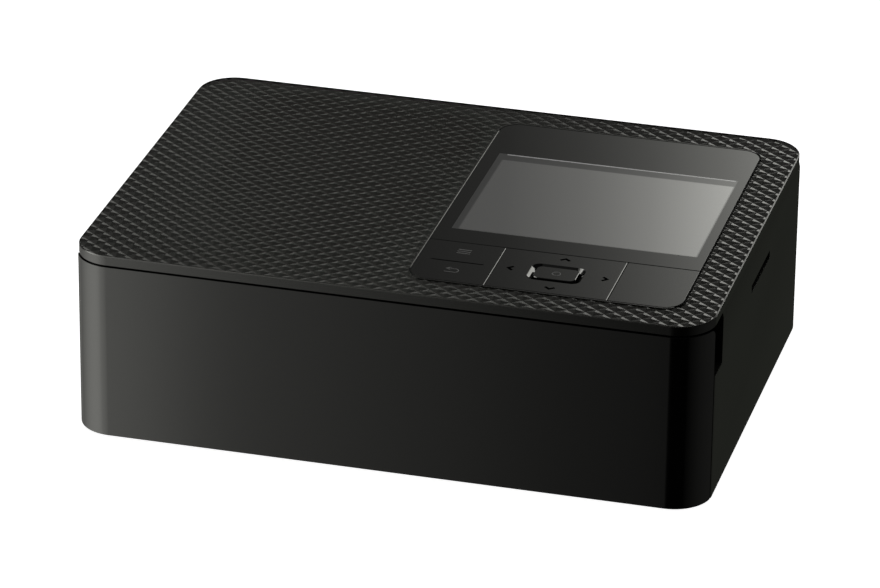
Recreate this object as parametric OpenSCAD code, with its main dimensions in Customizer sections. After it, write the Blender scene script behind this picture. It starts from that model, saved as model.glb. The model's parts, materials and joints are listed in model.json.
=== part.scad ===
// Compact photo printer: a low box that prints 100 mm wide photographs by heating a dye ribbon.
// The origin is the middle of the footprint on the table. X runs to the right, the front faces -Y.
// The print engine stands at the left, the electronics and the control panel at the right.

/* [Body] */
// Width of the body
body_w = 182.2; // [180:0.1:190]
// Depth of the body, front to back
body_d = 133; // [132:0.1:138]
// Height from the table to the lid
body_h = 57.6; // [57:0.1:60]
// Radius of the upright corners
corner_r = 11.1; // [9:0.1:12]
// Wall of the housing mouldings
wall = 2.2; // [1.9:0.1:2.4]
// Thickness of the lid
roof_t = 2.4; // [2:0.1:2.6]
// Height of the housing's lower edge above the table
skirt_z = 2.3; // [2.1:0.1:2.6]
// Height of the plain band round the lid
band_h = 2.75; // [2.4:0.05:3]
// How far the band stands back from the walls
band_inset = 0.3; // [0.1:0.05:0.5]
// Height of the soft fold that joins the band to the side walls
fold_h = 1.5; // [1:0.1:2]
// Chamfer round the lid's edge
lid_chamfer = 0.4; // [0.2:0.05:0.6]
// Depth of the lid's sunk field, which carries the grain
field_depth = 0.4; // [0.2:0.05:0.6]
// Plain rim round the sunk field
field_rim = 0.7; // [0.5:0.1:1.5]

/* [Front cover] */
// How far the cover wraps round the corners, from the front face
cover_wrap = 9.6; // [9:0.1:10.5]
// Seam between the cover and the housing
seam = 0.5; // [0.4:0.05:0.6]
// Distance of the hinge axis behind the front face
hinge_back = 3.1; // [2.9:0.05:3.15]
// Height of the hinge axis above the table
hinge_z = 3.5; // [3.45:0.05:3.8]
// Radius of the hinge pins
hinge_pin_r = 1; // [0.8:0.05:1.1]
// Radius of the hinge lugs and ears
lug_r = 2; // [1.8:0.05:2.1]
// Depth of the finger notch behind the cover's edge
notch_l = 9; // [8:0.1:10]
// Height of the finger notch
notch_h = 15.3; // [13:0.1:17]

/* [Paper bay] */
// Width of the paper cassette's bay
bay_w = 113; // [111:0.5:114]
// Height of the bay's mouth
bay_h = 27.5; // [25:0.5:28]

/* [Control panel] */
// Width of the control panel
panel_w = 77.2; // [76:0.1:78]
// Margin between the panel and the body's right side
panel_margin = 10.9; // [10.9:0.1:12]
// Margin between the panel and the body's back
panel_back = 11.3; // [11.2:0.1:12]
// Margin between the panel and the body's front
panel_front = 11.6; // [11.5:0.1:12.5]
// Radius of the panel's corners
panel_r = 5.5; // [4.5:0.1:6.5]
// Gap round the panel and its keys
panel_gap = 0.3; // [0.2:0.05:0.4]
// Thickness of the display glass
glass_t = 1.6; // [1.4:0.1:1.8]
// Depth of the row of keys
keys_d = 25.5; // [25:0.1:26]
// Width of the left key
menu_w = 22.1; // [21.5:0.1:22.5]
// Width of the four-way pad
pad_w = 34.8; // [34:0.1:35.5]
// Width of the centre key
ok_w = 12; // [11:0.1:12.5]
// Depth of the centre key
ok_d = 7.5; // [7:0.1:8]
// Gap between the centre key and the pad
ok_gap = 1.5; // [1:0.1:1.7]
// Travel of a key
key_travel = 0.3; // [0.25:0.01:0.32]

/* [Print engine] */
// Width of the paper path between the rollers' ends
paper_w = 100; // [99:0.5:101]
// Distance of the paper path below the lid's top
path_drop = 31.6; // [31.4:0.1:31.8]
// Distance of the platen's axis from the back wall
platen_back = 44.5; // [44:0.1:46]
// Radius of the platen and of the feed roller
roller_r = 6; // [5.8:0.1:6.1]
// Distance between the platen's and the feed roller's axes
roller_pitch = 26; // [25.8:0.1:26.2]
// Radius of the rollers' steel journals
journal_r = 3; // [2.6:0.1:3.2]
// Running clearance of shafts in their bores
run = 0.06; // [0.03:0.01:0.09]
// Radius of the ribbon cassette's tubes
tube_r = 8.8; // [8.5:0.1:8.9]
// Distance between the ribbon spools
spool_pitch = 34; // [34:0.1:35]
// Angle by which the print head stands raised at rest
head_lift = 7.2; // [6.8:0.1:7.2]
// Thickness of the engine's steel side plates
plate_t = 1.2; // [1:0.1:1.5]

/* [Gears] */
// Module of the gears
gear_mod = 0.8; // [0.79:0.005:0.81]
// Face width of the gears
gear_t = 4; // [3.6:0.1:4.2]
// Backlash at the pitch circle
backlash = 0.16; // [0.12:0.02:0.2]
// Teeth of the motor's pinion
pinion_teeth = 10; // [10:1:11]
// Teeth of the platen's and the feed roller's gears
roller_teeth = 18; // [18:1:18]
// Teeth of the idler's large gear
idler_teeth = 20; // [20:1:20]
// Teeth of the idler's small gear
idler_small_teeth = 11; // [11:1:11]
// Teeth of the ribbon's take-up gear
takeup_teeth = 13; // [13:1:13]

/* [Hidden] */
$fn = 64;
eps = 0.01;
touch = 0.3;

// Faces of the body
right = body_w / 2;
left = -right;
back = body_d / 2;
front = -back;
in_left = left + wall;
in_right = right - wall;
in_back = back - wall;
roof_z = body_h - roof_t;
band_z = body_h - band_h;
fold_z = band_z - fold_h;
path_z = body_h - path_drop;
seam_y = front + cover_wrap;

// Base plate
base_z = skirt_z - 1.1;
floor_t = 2;
floor_z = base_z + floor_t;
foot_r = 5;
foot_inset = 13;
boss_r = 3.2;
screw_r = 1.1;
front_boss_y = seam_y + notch_l + 4.5;
back_boss_y = back - 8.2;
boss_x = right - 6.1;
boss_spots = [
    [-boss_x, front_boss_y], [boss_x, front_boss_y], [-boss_x, back_boss_y], [boss_x, back_boss_y]
];

// Front cover's hinge
hinge_y = front + hinge_back;
cover_top = band_z - seam;
lug_x = right - corner_r - 9.5;
lug_w = 4;
ear_w = 4;
frame_y = seam_y - 2.5;
frame_t = 1.8;
mouth_rim = 0.8;
rail_t = 1.4;
bay_x = -boss_x + boss_r + touch + rail_t;
bay_z = floor_z + 1.8;
notch_depth = 7;
notch_top = band_z + eps;
hook_x = 60;
hook_w = 6;
hook_z = cover_top - 4;

// Control panel
panel_x1 = right - panel_margin;
panel_x0 = panel_x1 - panel_w;
panel_y1 = back - panel_back;
panel_y0 = front + panel_front;
panel_cx = (panel_x0 + panel_x1) / 2;
panel_cy = (panel_y0 + panel_y1) / 2;
split_y = panel_y0 + keys_d;
menu_x1 = panel_x0 + menu_w;
pad_x1 = menu_x1 + pad_w;
key_y = (panel_y0 + split_y) / 2;
ok_x = (menu_x1 + pad_x1) / 2;
ok_r = 1.6;
under_glass = body_h - glass_t;
tray_floor = body_h - 6.7;
tray_t = 1.2;
tray_rim = 1.2;
board_top = tray_floor + tray_t + 1;
switch_top = board_top + 0.9;
stem_end = switch_top + key_travel + 0.1;
pivot_z = under_glass - 1;
pivot_r = 0.6;
lcd_x0 = panel_x0 + 3;
lcd_x1 = panel_x1 - 1.6;
lcd_y0 = split_y + 4.7;
lcd_y1 = panel_y1 - 17.9;
lcd_frame_x = 1;
lcd_frame_y = 3.8;

// Engine, placed from the left wall and from the back wall
plate_l = in_left + 7.9;
film_gap = 3.3;
film_x0 = plate_l + plate_t + film_gap;
film_x1 = film_x0 + paper_w;
plate_r = film_x1 + 6;
gear_x0 = plate_r + plate_t + 1.3;
gear_x1 = gear_x0 + gear_t + 1;
outer_plate = gear_x1 + gear_t + 2;
platen_y = back - platen_back;
roller_z = path_z - roller_r;
feed_y = platen_y - roller_pitch;
pinch_r = 2.5;
pinch_z = path_z + 0.3 + pinch_r;
idler_y = (platen_y + feed_y) / 2;
idler_reach = gear_mod * (roller_teeth + idler_teeth) / 2;
idler_z = roller_z + sqrt(pow(idler_reach, 2) - pow(roller_pitch / 2, 2));
takeup_y = idler_y - 4;
takeup_reach = gear_mod * (idler_small_teeth + takeup_teeth) / 2;
spool_z = idler_z + sqrt(pow(takeup_reach, 2) - pow(4, 2));
supply_y = takeup_y + spool_pitch;
pinion_toward = 15;
pinion_reach = gear_mod * (pinion_teeth + roller_teeth) / 2;
pinion_y = platen_y + pinion_reach * cos(pinion_toward);
pinion_z = roller_z + pinion_reach * sin(pinion_toward);
motor_r = 12;
motor_l = 20;
tube_wall = 0.8;
case_x0 = plate_l - 4.5;
case_x1 = plate_r - 2;
case_end = 3.5;
case_head = 3;
bar_end = 1.2;
bar_z0 = spool_z - tube_r - 0.2;
bar_t = 2.2;
dog_r = 1.9;
head_y = supply_y + 15;
head_z = path_z + 18;
head_bottom = path_z + 0.4;
head_hw = 5;
head_top = head_bottom + 16.6;
frame_top = spool_z + tube_r + 0.6;
pivot_stub_r = 2;
plate_y0 = feed_y - 20;
plate_y1 = back - 6.5;
plate_z1 = head_z + 5;
foot_pad_z = floor_z + 0.8;

// Pickup arm
pickup_mod = 0.7;
pick_teeth = 14;
pick_idler_teeth = 18;
pick_roller_teeth = 12;
pick_y = feed_y - 12;
pick_z = path_z + 12;
pick_reach = pickup_mod * (pick_teeth + 2 * pick_idler_teeth + pick_roller_teeth) / 2;
pick_rise = 3;
tyre_r = 5;
pick_x = film_x0 + paper_w / 2;
pick_half = 16;

// Ribbon door and eject lever
door_pin_x = left + 2.5;
door_pin_y = supply_y + 12;
knuckle_r = 2.4;
door_y0 = feed_y - 19;
door_y1 = door_pin_y + knuckle_r;
door_z0 = bar_z0 - 1.6;
door_z1 = spool_z + tube_r + 3;
door_t = 2;
door_gap = 0.35;
lever_x = plate_l - 2.6;
lever_y = takeup_y - tube_r - 9.2;
lever_z0 = spool_z - 4;
lever_h = 6;
lever_pin_r = 1;

// Sockets
slot_y = back - 76.1;
slot_z = body_h - 14.3;
slot_w = 24.6;
slot_h = 2.4;
board_z = slot_z - 2.9;
board_t = 1.2;
board_x0 = outer_plate + 8;
board_y0 = feed_y - 34;
exit_h = 5.6;
jack_x = right - 17.5;
jack_z = floor_z + 10;
usb_x = plate_r + 14;

// ---------------------------------------------------------------- helpers

// Rounded rectangle from its corners
module round_rect(x0, x1, y0, y1, r) {
    translate([x0 + r, y0]) square([x1 - x0 - 2 * r, y1 - y0]);
    translate([x0, y0 + r]) square([x1 - x0, y1 - y0 - 2 * r]);
    for (x = [x0 + r, x1 - r], y = [y0 + r, y1 - r]) translate([x, y]) circle(r);
}

// Body outline drawn in by an inset
module outline(inset) {
    round_rect(left + inset, right - inset, front + inset, back - inset, corner_r - inset);
}

module slab(z0, z1) {
    translate([0, 0, z0]) linear_extrude(z1 - z0) children();
}

module block(a, b) {
    translate(a) cube(b - a);
}

// Rod along X between two ends
module rod_x(x0, x1, y, z, r) {
    translate([x0, y, z]) rotate([0, 90, 0]) cylinder(h = x1 - x0, r = r);
}

// Rod along Y between two ends
module rod_y(y0, y1, x, z, r) {
    translate([x, y0, z]) rotate([-90, 0, 0]) cylinder(h = y1 - y0, r = r);
}

module rod_z(z0, z1, x, y, r) {
    translate([x, y, z0]) cylinder(h = z1 - z0, r = r);
}

// Plate along X: the outline's first axis is Y and its second is Z
module plate_x(x0, x1) {
    translate([x0, 0, 0]) rotate([90, 0, 90]) linear_extrude(x1 - x0) children();
}

// Plate along Y: the outline's first axis is X and its second is Z
module plate_y(y0, y1) {
    translate([0, y1, 0]) rotate([90, 0, 0]) linear_extrude(y1 - y0) children();
}

// Slab on the body outline whose sides lean in by `lean` over its height
module leaning_slab(inset, lean, z0, z1) {
    x = right - inset;
    y = back - inset;
    r = corner_r - inset;
    plate_x(-(x - r), x - r) polygon([[-y, z0], [y, z0], [y - lean, z1], [-y + lean, z1]]);
    plate_y(-(y - r), y - r) polygon([[-x, z0], [x, z0], [x - lean, z1], [-x + lean, z1]]);
    for (sx = [-1, 1], sy = [-1, 1])
        translate([sx * (x - r), sy * (y - r), z0]) cylinder(h = z1 - z0, r1 = r, r2 = r - lean);
}

// Involute gear outline, with a tooth centred on the angle `turn`
pressure = 25;
function involute(a) = tan(a) * 180 / PI - a;
function flank(r, pitch, teeth) =
    let (base = pitch * cos(pressure), a = r > base ? acos(base / r) : 0)
    90 / teeth - backlash / pitch * 90 / PI + involute(pressure) - involute(a);
module gear_outline(teeth, mod, turn) {
    pitch = teeth * mod / 2;
    base = pitch * cos(pressure);
    root = pitch - 1.2 * mod;
    tip = pitch + 0.9 * mod;
    steps = [root, max(root + 0.02, base), (base + tip) / 2, pitch + 0.35 * mod, tip];
    polygon([
        for (i = [0:teeth - 1])
            for (j = [0:9])
                let (
                    r = j < 5 ? steps[j] : steps[9 - j],
                    side = j < 5 ? -1 : 1,
                    a = turn + i * 360 / teeth + side * flank(r, pitch, teeth)
                )
                [r * cos(a), r * sin(a)]
    ]);
}

// Turn that puts the second gear in mesh with the first, which lies at `turn`
function mesh(toward, turn, teeth, teeth2) =
    toward + 180 - (0.5 - (toward - turn) * teeth / 360) * 360 / teeth2;

module gear(x0, y, z, teeth, mod, turn, bore) {
    translate([0, y, z]) plate_x(x0, x0 + gear_t) difference() {
        gear_outline(teeth, mod, turn);
        circle(bore);
    }
}

idler_toward = atan2(idler_z - roller_z, idler_y - platen_y);
platen_turn = 0;
idler_turn = mesh(idler_toward, platen_turn, roller_teeth, idler_teeth);
feed_toward = atan2(roller_z - idler_z, feed_y - idler_y);
feed_turn = mesh(feed_toward, idler_turn, idler_teeth, roller_teeth);
pinion_turn = mesh(pinion_toward, platen_turn, roller_teeth, pinion_teeth);
takeup_toward = atan2(spool_z - idler_z, takeup_y - idler_y);
takeup_turn = mesh(takeup_toward, idler_turn, idler_small_teeth, takeup_teeth);
arm_toward = 180 - pick_rise;
pick_idler_turn = mesh(arm_toward, 0, pick_teeth, pick_idler_teeth);
pick_roller_turn = mesh(arm_toward, pick_idler_turn, pick_idler_teeth, pick_roller_teeth);
pick_idler_at = pickup_mod * (pick_teeth + pick_idler_teeth) / 2;

// ---------------------------------------------------------------- housing

// Notch that lets a finger behind the cover's edge, on the side s
module notch_space(s) {
    x0 = s > 0 ? right - notch_depth : left - 1;
    x1 = s > 0 ? right + 1 : left + notch_depth;
    low = band_z - notch_h;
    block([x0, seam_y - 1, low], [x1, seam_y + notch_l, notch_top]);
}

module notch_pocket(s) {
    x0 = s > 0 ? right - notch_depth - 1.5 : left + 0.5;
    x1 = s > 0 ? right - 0.5 : left + notch_depth + 1.5;
    block([x0, seam_y, band_z - notch_h - 1.5], [x1, seam_y + notch_l + 1.5, roof_z + 1]);
}

module shell_body() {
    slab(skirt_z, fold_z) outline(0);
    leaning_slab(0, band_inset, fold_z, band_z);
    slab(band_z, body_h - lid_chamfer) outline(band_inset);
    leaning_slab(band_inset, lid_chamfer, body_h - lid_chamfer, body_h);
}

module exit_slot(gap) {
    block(
        [film_x0 - 1.5 - gap, in_back - 12, path_z - 2.4 - gap],
        [film_x1 + 1.5 + gap, back + 1, path_z - 2.4 + exit_h + gap]
    );
}

module door_opening(gap) {
    block(
        [left - 1, door_y0 - gap, door_z0 - gap],
        [in_left + 0.5, door_pin_y, door_z1 + gap]
    );
}

module top_shell() color("#17181a") difference() {
    union() {
        difference() {
            shell_body();
            slab(skirt_z - 1, roof_z) outline(wall);
        }
        for (s = [-1, 1]) notch_pocket(s);
        for (p = boss_spots) rod_z(floor_z, roof_z + 1, p[0], p[1], boss_r);
        // Knuckle seats above and below the ribbon door
        for (z = [door_z0 - 2.5, door_z1])
            block([left + 0.5, door_pin_y - 3, z], [door_pin_x + 3, door_pin_y + 3, z + 2.5]);
        // Flanges that carry the control panel's tray
        for (y = [panel_y0 + 20, panel_y1 - 20])
            rod_z(roof_z - 1, roof_z + 1, panel_x0 - 3.5, y, 2.5);
    }
    // Room for the front cover and its rim
    block([left - 1, front - 1, skirt_z - 1], [right + 1, seam_y, band_z]);
    slab(body_h - field_depth, body_h + 1) difference() {
        outline(band_inset + lid_chamfer + field_rim);
        round_rect(
            panel_x0 - field_rim, panel_x1 + field_rim,
            panel_y0 - field_rim, panel_y1 + field_rim, panel_r + field_rim
        );
    }
    slab(roof_z - 1, body_h + 1) round_rect(
        panel_x0 - panel_gap, panel_x1 + panel_gap,
        panel_y0 - panel_gap, panel_y1 + panel_gap, panel_r + panel_gap
    );
    for (s = [-1, 1]) notch_space(s);
    for (p = boss_spots) rod_z(floor_z - 1, floor_z + 12, p[0], p[1], screw_r);
    // Card slot
    block([in_right - 1, slot_y, slot_z], [right + 1, slot_y + slot_w, slot_z + slot_h]);
    exit_slot(0);
    // Ribbon door, its round knuckle and its pin bores
    door_opening(door_gap);
    rod_z(door_z0 - door_gap, door_z1 + door_gap, door_pin_x, door_pin_y, 3.72);
    rod_z(door_z0 - 2, door_z1 + 2, door_pin_x, door_pin_y, hinge_pin_r);
    // Supply and data sockets
    block([jack_x - 5, in_back - 1, jack_z - 3.2], [jack_x + 5, back + 1, jack_z + 3.2]);
    block([usb_x - 4.9, in_back - 1, jack_z - 2], [usb_x + 4.9, back + 1, jack_z + 2]);
    // Air vents at the back
    for (i = [0:11])
        block(
            [film_x0 + 12 + i * 7, in_back - 1, path_z + 14],
            [film_x0 + 14.4 + i * 7, back + 1, path_z + 23]
        );
}

// Ears that carry the front cover's hinge pins
module hinge_ears() {
    for (s = [-1, 1]) {
        x0 = s * (lug_x + ear_w / 2 + touch) - ear_w / 2;
        plate_x(x0, x0 + ear_w) difference() {
            union() {
                translate([hinge_y, hinge_z]) circle(lug_r);
                translate([hinge_y, hinge_z - 1.6]) square([frame_y - mouth_rim - touch - hinge_y, lug_r + 1.6]);
                translate([hinge_y + 2, base_z]) square([4, floor_t]);
            }
            translate([hinge_y, hinge_z]) circle(hinge_pin_r + run);
        }
    }
}

module base_plate() color("#141414") {
    hinge_ears();
    base_tray();
}

module base_tray() difference() {
    union() {
        slab(base_z, floor_z) outline(wall + touch);
        difference() {
            slab(floor_z - eps, floor_z + 4) outline(wall + touch);
            slab(floor_z - 1, floor_z + 5) outline(wall + touch + 1.6);
            block([left, front, base_z - 1], [right, seam_y + 4, floor_z + 6]);
            // The rear corners make way for the housing's bosses
            for (p = boss_spots) rod_z(floor_z, floor_z + 6, p[0], p[1], boss_r + touch);
        }
        // Rails that guide the paper cassette
        for (x = [bay_x - rail_t, bay_x + bay_w])
            block([x, frame_y + frame_t + touch, floor_z - eps], [x + rail_t, plate_y0 - 6, floor_z + 14]);
        // Pads below the side plates' feet
        for (x = [plate_l + 5, plate_r + 5], y = [feed_y - 13, plate_y1 - 7])
            rod_z(floor_z - eps, foot_pad_z, x, y, 3.6);
        // Posts below the main board
        for (x = [board_x0 + 4, in_right - 6], y = [board_y0 + 4, back_boss_y - 10])
            rod_z(floor_z - eps, board_z, x, y, 2.6);
    }
    // The front corners stay clear of the cover
    block([left, front - 1, base_z - 1], [-lug_x - ear_w - 0.4, seam_y + 0.5, floor_z + 1]);
    block([lug_x + ear_w + 0.4, front - 1, base_z - 1], [right, seam_y + 0.5, floor_z + 1]);
    block([left, front - 1, base_z - 1], [right, hinge_y + 3.8, floor_z + 1]);
    for (p = boss_spots) {
        rod_z(base_z - 1, floor_z + 1, p[0], p[1], screw_r + 0.3);
        rod_z(base_z - 1, base_z + 1, p[0], p[1], 2.3);
    }
    for (x = [-1, 1], y = [-1, 1])
        rod_z(base_z - 1, base_z + 0.6, x * (right - foot_inset), y * (back - foot_inset), foot_r + 0.1);
    // Vents below the motor and the board
    for (i = [0:7])
        block([outer_plate + 8, platen_y - 20 + i * 6, base_z - 1], [in_right - 12, platen_y - 18 + i * 6, floor_z + 1]);
    for (x = [plate_l + 5, plate_r + 5], y = [feed_y - 13, plate_y1 - 7])
        rod_z(floor_z - 1.4, foot_pad_z + 1, x, y, 0.9);
}

module feet() color("#2a2a2a")
    for (x = [-1, 1], y = [-1, 1]) {
        rod_z(0.5, base_z + 0.6, x * (right - foot_inset), y * (back - foot_inset), foot_r);
        translate([x * (right - foot_inset), y * (back - foot_inset), 0])
            cylinder(h = 0.5, r1 = foot_r - 0.5, r2 = foot_r);
    }

module case_screws() color("#8d8f92")
    for (p = boss_spots) difference() {
        union() {
            rod_z(base_z + 0.2, base_z + 1, p[0], p[1], 2.1);
            rod_z(base_z + 0.9, floor_z + 9, p[0], p[1], screw_r);
        }
        for (a = [0, 90])
            translate([p[0], p[1], base_z]) rotate([0, 0, a]) translate([-1.2, -0.25, 0]) cube([2.4, 0.5, 0.7]);
    }

// Inner front panel with the mouth of the paper bay
module front_frame() color("#1b1b1c") difference() {
    union() {
        plate_y(frame_y, frame_y + frame_t) round_rect(
            in_left + 1.4, in_right - 1.4, floor_z + 0.2, band_z - 0.4, 2
        );
        // Rim round the mouth of the paper bay
        plate_y(frame_y - mouth_rim, frame_y + eps)
            round_rect(bay_x - 1.6, bay_x + bay_w + 1.6, bay_z - 1.4, bay_z + bay_h + 1.6, 2.5);
        // Edges that meet the housing's walls behind the cover
        for (s = [-1, 1])
            translate([s * (in_right - 2.15) - 0.75, frame_y + frame_t - eps, floor_z + 5])
                cube([1.5, 2.5, band_z - notch_h - 8 - floor_z]);
    }
    plate_y(frame_y - 2, frame_y + frame_t + 1) round_rect(bay_x, bay_x + bay_w, bay_z, bay_z + bay_h, 1.5);
    for (s = [-1, 1])
        block(
            [s * hook_x - hook_w / 2 - 0.6, frame_y - 1, hook_z - 2.2],
            [s * hook_x + hook_w / 2 + 0.6, frame_y + frame_t + 1, hook_z + 3]
        );
}

// ---------------------------------------------------------------- front cover

module front_cover() color("#1c1c1e") difference() {
    union() {
        difference() {
            slab(skirt_z, cover_top) outline(0);
            slab(skirt_z - 1, cover_top + 1) outline(wall);
            block([left - 1, seam_y - seam, skirt_z - 1], [right + 1, back + 1, cover_top + 1]);
            // Rounded rear corners at the top
            plate_x(left - 1, right + 1) difference() {
                translate([seam_y - seam - 2.2, cover_top - 2.2]) square(3.2);
                translate([seam_y - seam - 2.2, cover_top - 2.2]) circle(2.2);
            }
        }
        // Lip along the top edge
        intersection() {
            slab(cover_top - 1.6, cover_top) outline(0.5);
            block([left, front, 0], [right, front + wall + 2.4, body_h]);
        }
        // Snap hooks
        for (s = [-1, 1]) {
            block([s * hook_x - hook_w / 2, front + wall + 2, hook_z], [s * hook_x + hook_w / 2, frame_y + frame_t + 0.8, hook_z + 1.2]);
            block([s * hook_x - hook_w / 2, front + wall + 2, hook_z], [s * hook_x + hook_w / 2, front + wall + 3, cover_top - 0.6]);
            block(
                [s * hook_x - hook_w / 2, frame_y + frame_t + 0.2, hook_z],
                [s * hook_x + hook_w / 2, frame_y + frame_t + 0.8, hook_z + 1.8]
            );
        }
        // Lugs that hold the hinge pins
        for (s = [-1, 1]) {
            x0 = s * (lug_x - lug_w / 2) - lug_w / 2;
            rod_x(x0, x0 + lug_w, hinge_y, hinge_z, lug_r);
            block([x0, front + wall - eps, hinge_z], [x0 + lug_w, hinge_y + 1.6, hinge_z + 7]);
        }
        // Stiffening ribs
        for (x = [-50, -25, 0, 25, 50])
            block([x - 0.6, front + wall - eps, skirt_z + 5], [x + 0.6, front + wall + 1.2, cover_top - 1.6]);
    }
    // Pockets round the housing's ears, and bores for the pins
    for (s = [-1, 1]) {
        x0 = s * (lug_x + ear_w / 2 + touch) - ear_w / 2;
        rod_x(x0 - touch, x0 + ear_w + touch, hinge_y, hinge_z, lug_r + touch);
        rod_x(
            s > 0 ? lug_x - lug_w + 1 : -lug_x - 0.1, s > 0 ? lug_x + 0.1 : -lug_x + lug_w - 1,
            hinge_y, hinge_z, hinge_pin_r
        );
    }
}

module front_cover_pins() color("#b9bcc0")
    for (s = [-1, 1])
        rod_x(
            s > 0 ? lug_x - lug_w + 1 : -lug_x - ear_w - 0.2, s > 0 ? lug_x + ear_w + 0.2 : -lug_x + lug_w - 1,
            hinge_y, hinge_z, hinge_pin_r
        );

// ---------------------------------------------------------------- ribbon door

module ribbon_door() color("#17181a") difference() {
    union() {
        block([left, door_y0, door_z0], [left + door_t, door_pin_y, door_z1]);
        intersection() {
            rod_z(door_z0, door_z1, door_pin_x, door_pin_y, 3.45);
            union() {
                block([left, door_pin_y - 4, door_z0], [left + door_t, door_y1, door_z1]);
                rod_z(door_z0, door_z1, door_pin_x, door_pin_y, knuckle_r);
            }
        }
        // Catch at the free edge
        block([left + door_t - eps, door_y0 + 1, spool_z - 4], [left + door_t + 1.2, door_y0 + 2.2, spool_z + 4]);
    }
    // Bores for the pins
    for (z = [door_z0 - 1, door_z1 - 4]) rod_z(z, z + 5, door_pin_x, door_pin_y, hinge_pin_r + run);
    // Grip groove along the free edge
    rod_z(door_z0 + 5, door_z1 - 5, left - 0.5, door_y0 + 4, 1.2);
}

module ribbon_door_pins() color("#b9bcc0") {
    rod_z(door_z0 - 2, door_z0 + 3.5, door_pin_x, door_pin_y, hinge_pin_r);
    rod_z(door_z1 - 3.5, door_z1 + 2, door_pin_x, door_pin_y, hinge_pin_r);
}

// ---------------------------------------------------------------- control panel

module panel_outline(grow) {
    round_rect(panel_x0 - grow, panel_x1 + grow, panel_y0 - grow, panel_y1 + grow, panel_r + grow);
}

// One plate of the key row, cut from the panel's outline between two sides
module key_plate(x0, x1) {
    slab(under_glass, body_h) intersection() {
        panel_outline(0);
        translate([x0, panel_y0 - 1]) square([x1 - x0, split_y - panel_gap / 2 - panel_y0 + 1]);
    }
}

module display_glass() color("#0c0d0f")
    slab(under_glass, body_h) intersection() {
        panel_outline(0);
        translate([panel_x0 - 1, split_y + panel_gap / 2]) square([panel_w + 2, panel_y1 - split_y]);
    }

module lcd_module() color("#4a4f55") {
    z0 = tray_floor + tray_t;
    z1 = under_glass - 0.15;
    difference() {
        block([lcd_x0, lcd_y0, z0], [lcd_x1, lcd_y1, z1]);
        block([lcd_x0 + lcd_frame_x, lcd_y0 + lcd_frame_y, z1 - 0.4], [lcd_x1 - lcd_frame_x, lcd_y1 - lcd_frame_y, z1 + 1]);
    }
}

module panel_tray() color("#101010") difference() {
    union() {
        slab(tray_floor, under_glass) panel_outline(-0.1);
        // Flange that screws to the lid from below
        slab(roof_z - 1.5, roof_z - 0.05) difference() {
            round_rect(panel_x0 - 6, panel_x1 + 4, panel_y0 + 14, panel_y1 - 14, 3);
            for (y = [panel_y0 + 20, panel_y1 - 20]) translate([panel_x0 - 3.5, y]) circle(2.8);
        }
    }
    // Display pocket
    slab(tray_floor + tray_t, under_glass + 1) intersection() {
        panel_outline(-tray_rim);
        translate([panel_x0, split_y + 1.2]) square([panel_w, panel_y1 - split_y]);
    }
    // Key pocket, with a low rim below the key plates
    slab(tray_floor + tray_t, under_glass + 1) intersection() {
        panel_outline(-tray_rim);
        translate([panel_x0, panel_y0]) square([panel_w, keys_d - 1.2]);
    }
    block([panel_x0 - 1, panel_y0 - 1, under_glass - key_travel - 0.6], [panel_x1 + 1, split_y + 0.3, under_glass + 1]);
    // Bores for the guide posts of the print key and the centre key
    for (p = guide_posts) rod_z(tray_floor - 1, tray_floor + tray_t + 1, p[0], p[1], p[2] + run);
}

print_cx = (pad_x1 + panel_x1) / 2;
guide_posts = [
    [print_cx, key_y - 8, 1.5], [print_cx, key_y + 8, 1.5], [ok_x - 4, key_y, 1], [ok_x + 4, key_y, 1]
];
switch_spots = [
    [(panel_x0 + menu_x1) / 2, key_y + 6.5], [(panel_x0 + menu_x1) / 2, key_y - 6.5],
    [ok_x, key_y + 8], [ok_x, key_y - 8], [ok_x - 12.4, key_y], [ok_x + 12.4, key_y],
    [ok_x, key_y], [print_cx, key_y]
];

module key_board() color("#1d5b3a") difference() {
    slab(tray_floor + tray_t, board_top) intersection() {
        panel_outline(-tray_rim - 0.2);
        translate([panel_x0, panel_y0]) square([panel_w, keys_d - 1.6]);
    }
    for (p = guide_posts) rod_z(tray_floor, board_top + 1, p[0], p[1], p[2] + 0.35);
}

module key_switches() color("#c9cbce")
    for (p = switch_spots) {
        translate([p[0] - 1.5, p[1] - 1.5, board_top]) cube([3, 3, 0.6]);
        rod_z(board_top + 0.5, switch_top, p[0], p[1], 0.8);
    }

menu_cx = (panel_x0 + menu_x1) / 2;

// Saddle on the board that holds a rocking axis along X
module saddle(x) {
    difference() {
        block([x - 0.7, key_y - 1.8, board_top], [x + 0.7, key_y + 1.8, pivot_z]);
        rod_x(x - 1, x + 1, key_y, pivot_z, pivot_r + run);
    }
}

module key_saddles() color("#2b2b2e")
    for (s = [-1, 1]) {
        saddle(menu_cx + s * 7.3);
        saddle(ok_x + s * (carrier_x + 1));
    }

module menu_key() color("#0e0f11") difference() {
    union() {
        key_plate(panel_x0 - 1, menu_x1 - panel_gap / 2);
        for (y = [key_y - 6.5, key_y + 6.5]) rod_z(stem_end, under_glass + 0.5, menu_cx, y, 1.1);
        // Rocking axis below the plate
        rod_x(menu_cx - 8, menu_cx + 8, key_y, pivot_z, pivot_r);
        block([menu_cx - 5, key_y - 0.6, pivot_z], [menu_cx + 5, key_y + 0.6, under_glass + 0.5]);
    }
    // Slit that parts the two keys
    block([panel_x0 + 3.7, key_y - 0.25, under_glass + 0.6], [menu_x1 - 3.3, key_y + 0.25, body_h + 1]);
}

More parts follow.
